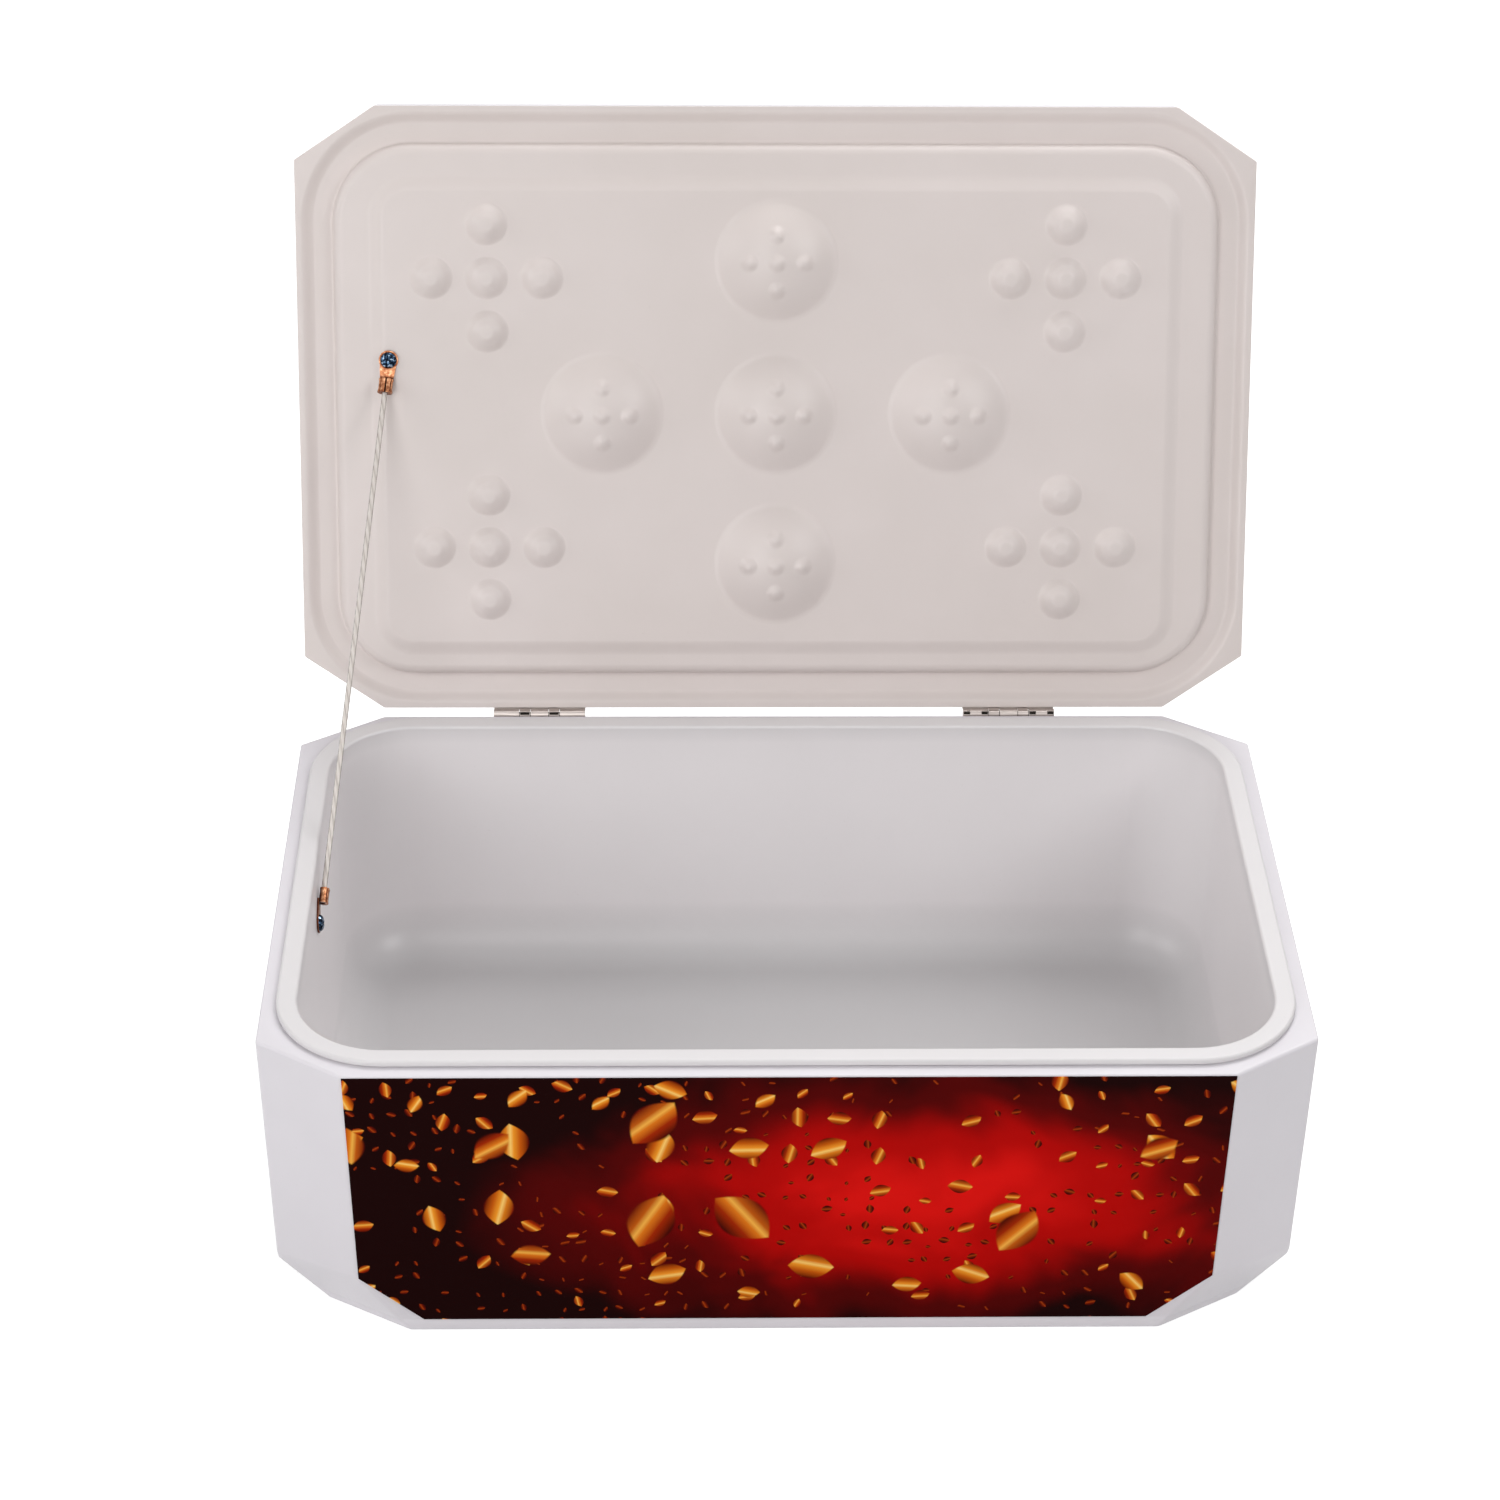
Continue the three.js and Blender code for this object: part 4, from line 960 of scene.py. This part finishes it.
def feed(node, inputs):
    """Gives a node its inputs, by name or in order. Each is a value or a source, and a node as a source
    stands for its first output that is in use."""
    named = inputs if isinstance(inputs, dict) else dict(enumerate(inputs))
    for socket, value in named.items():
        if isinstance(value, bpy.types.Node):
            value = next(output for output in value.outputs if output.enabled)
        if isinstance(value, bpy.types.NodeSocket):
            node.id_data.links.new(value, node.inputs[socket])
        else:
            node.inputs[socket].default_value = value


def add(tree, kind, inputs=(), stops=(), **settings):
    """Adds a node with its settings and inputs. A colour ramp also has stops: places and sRGB codes."""
    node = tree.nodes.new("ShaderNode" + kind)
    for name, value in settings.items():
        setattr(node, name, value)
    feed(node, inputs)
    if stops:
        elements = node.color_ramp.elements
        while len(elements) < len(stops):
            elements.new(0.5)
        for element, (place, code) in zip(elements, stops):
            element.position, element.color = place, linear(code)
    return node


def new_finish(name, values):
    """A material and its node tree. Values that are the same all over go on the shader's own sockets."""
    finish = bpy.data.materials.new(name)
    finish.use_nodes = True
    shader = finish.node_tree.nodes["Principled BSDF"]
    feed(shader, values)
    return finish, finish.node_tree, shader


def patterned(tree, shader, pattern, stops, gloss=(), bump=()):
    """One pattern gives the colour and, where they are named, the roughness at its two ends and the
    relief, as a strength and a height in millimetres."""
    feed(shader, {"Base Color": add(tree, "ValToRGB", [pattern], stops)})
    if gloss:
        feed(shader, {"Roughness": add(tree, "MapRange", [pattern, 0.0, 1.0, *gloss])})
    if bump:
        strength, height = bump
        feed(shader, {"Normal": add(tree, "Bump", {"Strength": strength, "Distance": height * MM,
                                                   "Height": pattern})})


def per(size_mm):
    """The scale of a pattern whose grain is this size in millimetres."""
    return 1 / (size_mm * MM)


def dress(finish, *objects):
    """Puts a finish on pieces and on the frame's own nodes."""
    for obj in objects:
        if obj.material_slots:
            for slot in obj.material_slots:
                slot.material = finish
        else:
            obj.data.materials.append(finish)
    print(finish.name, "on", ", ".join(obj.name for obj in objects))

# %% [markdown]
# ### Moulded plastic
# The shell, tray and lid are polyethylene, a little waxy, and the tub is glossier ABS. Both came out of a
# mould: smooth, with an orange-peel wave of a few millimetres, faint cloudiness where the wall's thickness
# varies, and hairline scuffs from use. The wave goes to Bump, the clouds to the colour, and the scuffs to
# the roughness, so they show only in the gloss. The tub's floor carries painted shade, and its lip a weaker
# share of that painted shade, so its finish also reads the height.

# %% Plastic finishes
def moulded(name, light_code, dark_code, roughness, scuff, wave_mm, wave_height, coat=0.0, painted_shade=None):
    """Clouds and flecks in the colour, scuffs in the roughness, a wave and a fine grain in the relief.
    The painted shade is the larger of two ranges of height: the floor's curve, and 0.4 of the lip."""
    finish, tree, shader = new_finish(name, {"IOR": 1.5, "Coat Weight": coat, "Coat Roughness": 0.12})
    place = add(tree, "TexCoord").outputs["Object"]
    clouds = add(tree, "TexNoise", {"Vector": place, "Scale": per(140), "Detail": 3, "Roughness": 0.55})
    colour = add(tree, "ValToRGB", [clouds], [(0.3, dark_code), (0.7, light_code)])
    specks = add(tree, "TexNoise", {"Vector": place, "Scale": per(1.6), "Detail": 2})
    fleck = add(tree, "MapRange", [specks, 0.70, 0.78, 0.0, 0.16])
    colour = add(tree, "Mix", {"Factor": fleck, "A": colour, "B": linear("#B9B0A8")}, data_type="RGBA")
    # Painted shade: the colour darkens towards the tub's floor and, by 0.4 of that, on its lip.
    if painted_shade:
        height = add(tree, "SeparateXYZ", [place]).outputs["Z"]
        low = add(tree, "MapRange", [height, 68 * MM, 28 * MM])
        lip = add(tree, "MapRange", [height, 212 * MM, 224 * MM, 0.0, 0.4])
        painted_shade_share = add(tree, "Math", [low, lip], operation="MAXIMUM")
        colour = add(tree, "Mix", {"Factor": painted_shade_share, "A": colour, "B": linear(painted_shade)}, data_type="RGBA")
    stretched = add(tree, "Mapping", {"Vector": place, "Scale": (1, 1, 0.12), "Rotation": (0.3, 0.5, 0.2)})
    scuffs = add(tree, "TexNoise", {"Vector": stretched, "Scale": per(5), "Detail": 5, "Roughness": 0.7})
    gloss = add(tree, "MapRange", [scuffs, 0.35, 0.7, roughness, roughness + scuff])
    wave = add(tree, "TexNoise", {"Vector": place, "Scale": per(wave_mm), "Detail": 2})
    grain = add(tree, "TexNoise", {"Vector": place, "Scale": per(0.9), "Detail": 1})
    both = add(tree, "Math", [grain, 0.15, wave], operation="MULTIPLY_ADD")
    bump = add(tree, "Bump", {"Strength": 0.6, "Distance": wave_height * MM, "Height": both})
    feed(shader, {"Base Color": colour, "Roughness": gloss, "Normal": bump})
    return finish


white_polyethylene = moulded("white_moulded_polyethylene", "#E1DDE2", "#DCD8DD", 0.34, 0.12, 5, 0.1)
# The tub's finish carries painted shade on its floor and lip.
grey_abs = moulded("pale_grey_moulded_abs", "#E9E5E6", "#E6E2E3", 0.36, 0.02, 40, 0.12, 0.06,
                   painted_shade="#C9C7C8")
warm_polyethylene = moulded("warm_white_formed_polyethylene", "#E0D6D3", "#DBD1CD", 0.38, 0.1, 6, 0.1)
dress(white_polyethylene, shell, tray, cover)
dress(grey_abs, liner)
dress(warm_polyethylene, pan, domes, bumps)

# %% [markdown]
# ### Metals
# The hinges and their screws are rolled stainless steel, whose brushing runs along the sheet, and their
# pins are painted near black as painted shade, which shows through the slots in the knuckles. The lugs are
# bare copper that has browned in the folds of the crimp. The lug screws are steel with blue zinc plating,
# glossy and slightly cloudy. A metal's colour is its reflection, so the base colour is the tint of the
# highlight.

# %% Metal finishes
def brushed_steel(name, dark_code, light_code):
    """Fine noise, drawn out along the sheet."""
    finish, tree, shader = new_finish(name, {"Metallic": 1.0})
    place = add(tree, "TexCoord").outputs["Object"]
    # The real brushing is about 0.1 mm; it is drawn at 0.5 mm so that it shows
    lines = add(tree, "Mapping", {"Vector": place, "Scale": (0.02, 1, 1)})
    brushing = add(tree, "TexNoise", {"Vector": lines, "Scale": per(0.5), "Detail": 3})
    patterned(tree, shader, brushing, [(0.35, dark_code), (0.65, light_code)], (0.26, 0.44), (0.25, 0.05))
    return finish


def bare_copper():
    """Stains of a few millimetres, and a dark brown where the metal faces itself in a fold."""
    finish, tree, shader = new_finish("stamped_copper", {"Metallic": 1.0})
    place = add(tree, "TexCoord").outputs["Object"]
    stains = add(tree, "TexNoise", {"Vector": place, "Scale": per(3), "Detail": 4, "Roughness": 0.6})
    tints = [(0.32, "#74412B"), (0.5, "#AA7250"), (0.68, "#DEAC86")]
    patterned(tree, shader, stains, tints, (0.42, 0.24), (0.3, 0.08))
    clean = shader.inputs["Base Color"].links[0].from_socket
    folds = add(tree, "AmbientOcclusion", {"Distance": 4 * MM}, samples=8).outputs["AO"]
    browned = add(tree, "MapRange", [folds, 0.6, 0.98, 1.0, 0.0])
    feed(shader, {"Base Color": add(tree, "Mix", {"Factor": browned, "A": clean, "B": linear("#4A1A10")},
                                    data_type="RGBA")})
    return finish


def blue_zinc():
    """Cloudy plating, from nearly black to pale blue."""
    finish, tree, shader = new_finish("blue_zinc_plated_steel", {"Metallic": 1.0})
    place = add(tree, "TexCoord").outputs["Object"]
    clouds = add(tree, "TexNoise", {"Vector": place, "Scale": per(2), "Detail": 3})
    patterned(tree, shader, clouds, [(0.46, "#101824"), (0.57, "#446482"), (0.68, "#C8D6E2")], (0.1, 0.22))
    return finish


dress(brushed_steel("brushed_stainless_steel", "#A39A95", "#C6BDB8"), *leaves, *screws)
# The pins are painted near black, as painted shade inside the knuckles.
dress(brushed_steel("dark_pin_steel_painted_shade", "#1C1917", "#2C2826"), *pins)
dress(bare_copper(), *lugs)
dress(blue_zinc(), *lug_screws)

# %% [markdown]
# ### Coated wire
# The cable's clear vinyl coat has gone milky, so the strands show only as a faint ripple that winds round
# it. The ripple reads the cable's own map: six strands a turn, each turn 40 mm long. The colour is painted
# darker towards the edge as painted shade, and pale in the middle: that is how the surface faces the eye,
# so the colour follows Layer Weight's Facing.

# %% Wire finish
def vinyl_coated_wire():
    """Stripe = ping-pong of strands x (share of a turn + length / pitch), and painted edge shade over it."""
    finish, tree, shader = new_finish("vinyl_coated_wire", {
        "IOR": 1.53, "Roughness": 0.22, "Subsurface Weight": 0.25, "Subsurface Radius": (1, 0.95, 0.9),
        "Subsurface Scale": 1.5 * MM, "Coat Weight": 0.6, "Coat Roughness": 0.08})
    winding = add(tree, "SeparateXYZ", [add(tree, "UVMap", uv_map="winding")])
    along = add(tree, "Math", [winding.outputs["X"], strands / strand_pitch], operation="MULTIPLY")
    phase = add(tree, "Math", [winding.outputs["Y"], float(strands), along], operation="MULTIPLY_ADD")
    stripe = add(tree, "Math", [phase, 1.0], operation="PINGPONG")
    ripple = add(tree, "ValToRGB", [stripe], [(0.0, "#B8AFA8"), (0.4, "#D2CAC3"), (1.0, "#DED7D1")])
    facing = add(tree, "LayerWeight", {"Blend": 0.5}).outputs["Facing"]
    # Painted shade: the colour darkens where the surface turns away from the eye.
    rim = add(tree, "MapRange", [facing, 0.35, 0.68, 0.0, 0.9])
    ripple_and_painted_edge_shade = add(tree, "Mix", {"Factor": rim, "A": ripple, "B": linear("#5F554D")}, data_type="RGBA")
    bump = add(tree, "Bump", {"Strength": 0.1, "Distance": 0.05 * MM, "Height": stripe})
    feed(shader, {"Base Color": ripple_and_painted_edge_shade, "Normal": bump})
    return finish


dress(vinyl_coated_wire(), cable)

# %% [markdown]
# ### The printed panel
# The front face has a printed film with a warm picture. Here it is a plain design of drifting amber petals
# over a deep red glow. Each layer splits the panel into random cells and draws one petal a cell: the offset
# from the cell's middle is turned by a random angle, and the petal is where the offset across is smaller
# than a width that falls with the offset along. A petal is kept when its cell's chance is below a wide
# noise, so petals gather in drifts. Layers of four sizes give depth, and the smallest ones are the dimmest.

# %% Printed film
tone_stops = (0.0, 0.28, 0.5, 0.6, 0.74, 1.0)


def petals(tree, place, cell_mm, shift, keep, codes, behind):
    """One layer of petals over the colour behind it. In cell units a petal of half length s has the
    half width 0.7 s (1 - (along / s)^2), and s is random for each cell."""
    scaled = add(tree, "Mapping", {"Vector": place, "Scale": (per(cell_mm),) * 3, "Location": shift})
    cells = add(tree, "TexVoronoi", {"Vector": scaled, "Scale": 1.0, "Randomness": 0.45},
                voronoi_dimensions="2D")
    middle = cells.outputs["Position"]
    chance = add(tree, "SeparateColor", [cells.outputs["Color"]]).outputs
    offset = add(tree, "VectorMath", [scaled, middle], operation="SUBTRACT")
    angle = add(tree, "Math", [chance[0], 6.283], operation="MULTIPLY")
    turned_round = add(tree, "VectorRotate", {"Vector": offset, "Angle": angle}, rotation_type="Z_AXIS")
    local = add(tree, "SeparateXYZ", [turned_round]).outputs
    size = add(tree, "MapRange", [chance[1], 0.0, 1.0, 0.14, 0.3])
    along = add(tree, "Math", [local["X"], size], operation="DIVIDE")
    power = add(tree, "Math", [along, along], operation="MULTIPLY")
    squared = add(tree, "Math", [power, -1.0, 1.0], operation="MULTIPLY_ADD")
    width = add(tree, "Math", [squared, size], operation="MULTIPLY")
    across = add(tree, "Math", [local["Y"], 1.43], operation="MULTIPLY")
    side = add(tree, "Math", [across], operation="ABSOLUTE")
    inside = add(tree, "Math", [width, side], operation="SUBTRACT")
    edge = add(tree, "MapRange", [inside, 0.0, 0.045], interpolation_type="SMOOTHSTEP")
    drifts = add(tree, "TexNoise", {"Vector": middle, "Scale": cell_mm / 110, "Detail": 1})
    limit = add(tree, "MapRange", [drifts, 0.36, 0.62, 0.08, keep])
    kept = add(tree, "Math", [chance[2], limit], operation="LESS_THAN")
    mask = add(tree, "Math", [edge, kept], operation="MULTIPLY")
    lean = add(tree, "Math", [across, size], operation="DIVIDE")
    slope = add(tree, "Math", [along, 0.25, lean], operation="MULTIPLY_ADD")
    tone = add(tree, "MapRange", [slope, -0.9, 0.9])
    fill = add(tree, "ValToRGB", [tone], list(zip(tone_stops, codes)))
    return add(tree, "Mix", {"Factor": mask, "A": behind, "B": fill}, data_type="RGBA")


def printed_film():
    """The glow's ramp follows the distance from a point in front of the panel, swayed by noise. Then come
    four layers of petals, the smallest first."""
    finish, tree, shader = new_finish("printed_film", {
        "IOR": 1.45, "Roughness": 0.3, "Specular IOR Level": 0.03})
    flat = add(tree, "SeparateXYZ", [add(tree, "TexCoord").outputs["Object"]]).outputs
    upright = add(tree, "CombineXYZ", [flat["X"], flat["Z"]])
    sway = add(tree, "TexNoise", {"Vector": upright, "Scale": per(120), "Detail": 3, "Distortion": 0.5})
    spread = add(tree, "Mapping", {"Vector": upright, "Location": (-0.8, -1.45, -0.5),
                                   "Scale": (3.4, 8.0, 0)})
    drift = add(tree, "VectorMath", [spread, sway.outputs["Color"]], operation="ADD")
    glow = add(tree, "VectorMath", [drift], operation="LENGTH")
    layer = add(tree, "ValToRGB", [glow], [(0.1, "#E01410"), (0.4, "#B80806"), (0.75, "#520202"),
                                           (1.0, "#180000")])
    layer.color_ramp.interpolation = "EASE"
    dim = ("#240000", "#5A0E02", "#8E2A06", "#A8420C", "#701803", "#300200")
    warm = ("#3A0400", "#A32A04", "#E2791C", "#F5B44A", "#C25A12", "#6A1003")
    bright = ("#5A0A00", "#C85A0C", "#F39A2A", "#FFD070", "#E0801C", "#8A2404")
    for cell_mm, shift, keep, codes in ((14, (0.3, 0.7, 0), 0.8, dim), (30, (4.1, 2.2, 0), 0.85, warm),
                                        (55, (7.7, 5.4, 0), 0.8, bright), (90, (2.4, 9.3, 0), 0.75, warm)):
        layer = petals(tree, upright, cell_mm, shift, keep, codes, layer)
    feed(shader, {"Base Color": layer})
    return finish


dress(printed_film(), nodes["front_panel"])

# %% [markdown]
# ### What lies inside the walls
# Rigid foam fills the walls, wood blocks take the hinge screws and nylon inserts the lug screws. They are
# hidden while the cooler is whole, yet each has its own finish for a cut-away view.

# %% Hidden finishes
def rigid_foam():
    """Closed cells of 1.5 mm, darker in their middles."""
    finish, tree, shader = new_finish("rigid_polyurethane_foam", {"Roughness": 0.9})
    place = add(tree, "TexCoord").outputs["Object"]
    bubbles = add(tree, "TexVoronoi", {"Vector": place, "Scale": per(1.5)})
    patterned(tree, shader, bubbles, [(0.0, "#CDBD86"), (0.7, "#EFE4BC")], bump=(0.7, 0.4))
    return finish


def sawn_pine():
    """Growth rings of 4 mm, drawn out along the grain."""
    finish, tree, shader = new_finish("sawn_pine", {"Roughness": 0.75})
    place = add(tree, "TexCoord").outputs["Object"]
    grain = add(tree, "Mapping", {"Vector": place, "Scale": (0.06, 1, 1)})
    rings = add(tree, "TexNoise", {"Vector": grain, "Scale": per(4), "Detail": 4, "Distortion": 0.6})
    patterned(tree, shader, rings, [(0.3, "#9C6B3A"), (0.7, "#D2A66D")])
    return finish


def natural_nylon():
    """Milky and slightly cloudy."""
    finish, tree, shader = new_finish("natural_nylon", {"Roughness": 0.45, "Subsurface Weight": 0.2,
                                                        "Subsurface Scale": 1 * MM})
    place = add(tree, "TexCoord").outputs["Object"]
    clouds = add(tree, "TexNoise", {"Vector": place, "Scale": per(6), "Detail": 2})
    patterned(tree, shader, clouds, [(0.3, "#E8E4D8"), (0.7, "#F4F1E8")])
    return finish


dress(rigid_foam(), nodes["base_foam"], nodes["lid_foam"])
dress(sawn_pine(), *[node for name, node in nodes.items() if name.endswith("_block")])
dress(natural_nylon(), *[node for name, node in nodes.items() if name.endswith("_insert")])

# %% [markdown]
# ## Floor and light
# The cooler stands on a white floor in soft studio light, as for a catalogue. Three lamps stand above and
# behind it: they light the rim, the tub's floor and the upper edges of the lid's relief. Four more light
# the lid's face and the tub's walls, from low on the left, from above, and from both sides. The floor is a
# mid-white card, and only rays from the camera and mirror rays get some white light on top of it. So it
# reads as white paper, keeps a soft shadow, and puts no extra light on the cooler. Away from the lamps'
# reach that share of white rises, so that the floor runs on into a white backdrop.

# %% Floor and world
def eye_share(tree):
    """One for camera, glossy and transmission rays, and zero for the others."""
    rays = add(tree, "LightPath").outputs
    seen = add(tree, "Math", [rays["Is Camera Ray"], rays["Is Glossy Ray"]], operation="MAXIMUM")
    return add(tree, "Math", [seen, rays["Is Transmission Ray"]], operation="MAXIMUM")


card, card_tree, card_shader = new_finish("white_card", {"Roughness": 0.9, "Base Color": linear("#D6D6D6")})
card_place = add(card_tree, "TexCoord").outputs["Object"]
distance = add(card_tree, "VectorMath", [card_place], operation="LENGTH")
fade = add(card_tree, "MapRange", [distance, 1.2, 3.6, 0.66, 1.0], interpolation_type="SMOOTHSTEP")
card_light = add(card_tree, "Math", [eye_share(card_tree), fade], operation="MULTIPLY")
card_white = add(card_tree, "Emission", {"Strength": card_light})
feed(card_tree.nodes["Material Output"], {"Surface": add(card_tree, "AddShader", [card_shader, card_white])})
floor_half = 12
floor_corners = [(x * floor_half, y * floor_half, 0) for x, y in ((-1, -1), (1, -1), (1, 1), (-1, 1))]
floor_mesh = bpy.data.meshes.new("floor")
floor_mesh.from_pydata(floor_corners, [], [(0, 1, 2, 3)])
floor = bpy.data.objects.new("floor", floor_mesh)
bpy.context.scene.collection.objects.link(floor)
dress(card, floor)

world = bpy.data.worlds.new("studio")
bpy.context.scene.world = world
world.use_nodes = True
sky = world.node_tree
fill_light = sky.nodes["Background"]
feed(fill_light, {"Color": (1, 1, 1, 1), "Strength": 0.03})
eye_white = add(sky, "Background", {"Color": (1, 1, 1, 1), "Strength": 1.0})
sky_mix = add(sky, "MixShader", [eye_share(sky), fill_light, eye_white])
feed(sky.nodes["World Output"], {"Surface": sky_mix})

# %% Lamps
lamp_size, lamp_target = 1.6, np.array([0, 0.1, 0.25])
lamps = {
    "back_light": ((0, 2.2, 2.6), 12), "back_top": ((1.2, 1.5, 2.8), 38), "lid_top": ((0, 1.2, 3.0), 20),
    "front_left": ((-1.5, -3.2, 1.3), 40), "front_top": ((-1.0, -2.4, 2.7), 20),
    "left_side": ((-2.8, -0.5, 1.5), 24), "right_side": ((2.2, -1.6, 2.3), 36)}
for name, (place, watts) in lamps.items():
    light = bpy.data.lights.new(name, "AREA")
    light.size, light.energy = lamp_size, watts
    lamp = bpy.data.objects.new(name, light)
    # A lamp shines along its own -Z, so its way back points away from the target
    back = unit(np.array(place, float) - lamp_target)
    lamp_right = unit(np.cross([0, 0, 1.0], back))
    lamp.matrix_world = matrix_of(lamp_right, np.cross(back, lamp_right), back, np.array(place, float))
    bpy.context.scene.collection.objects.link(lamp)
bpy.context.scene.view_settings.view_transform = "Standard"
print(len(lamps), "lamps,", sum(watts for place, watts in lamps.values()), "watts in all")
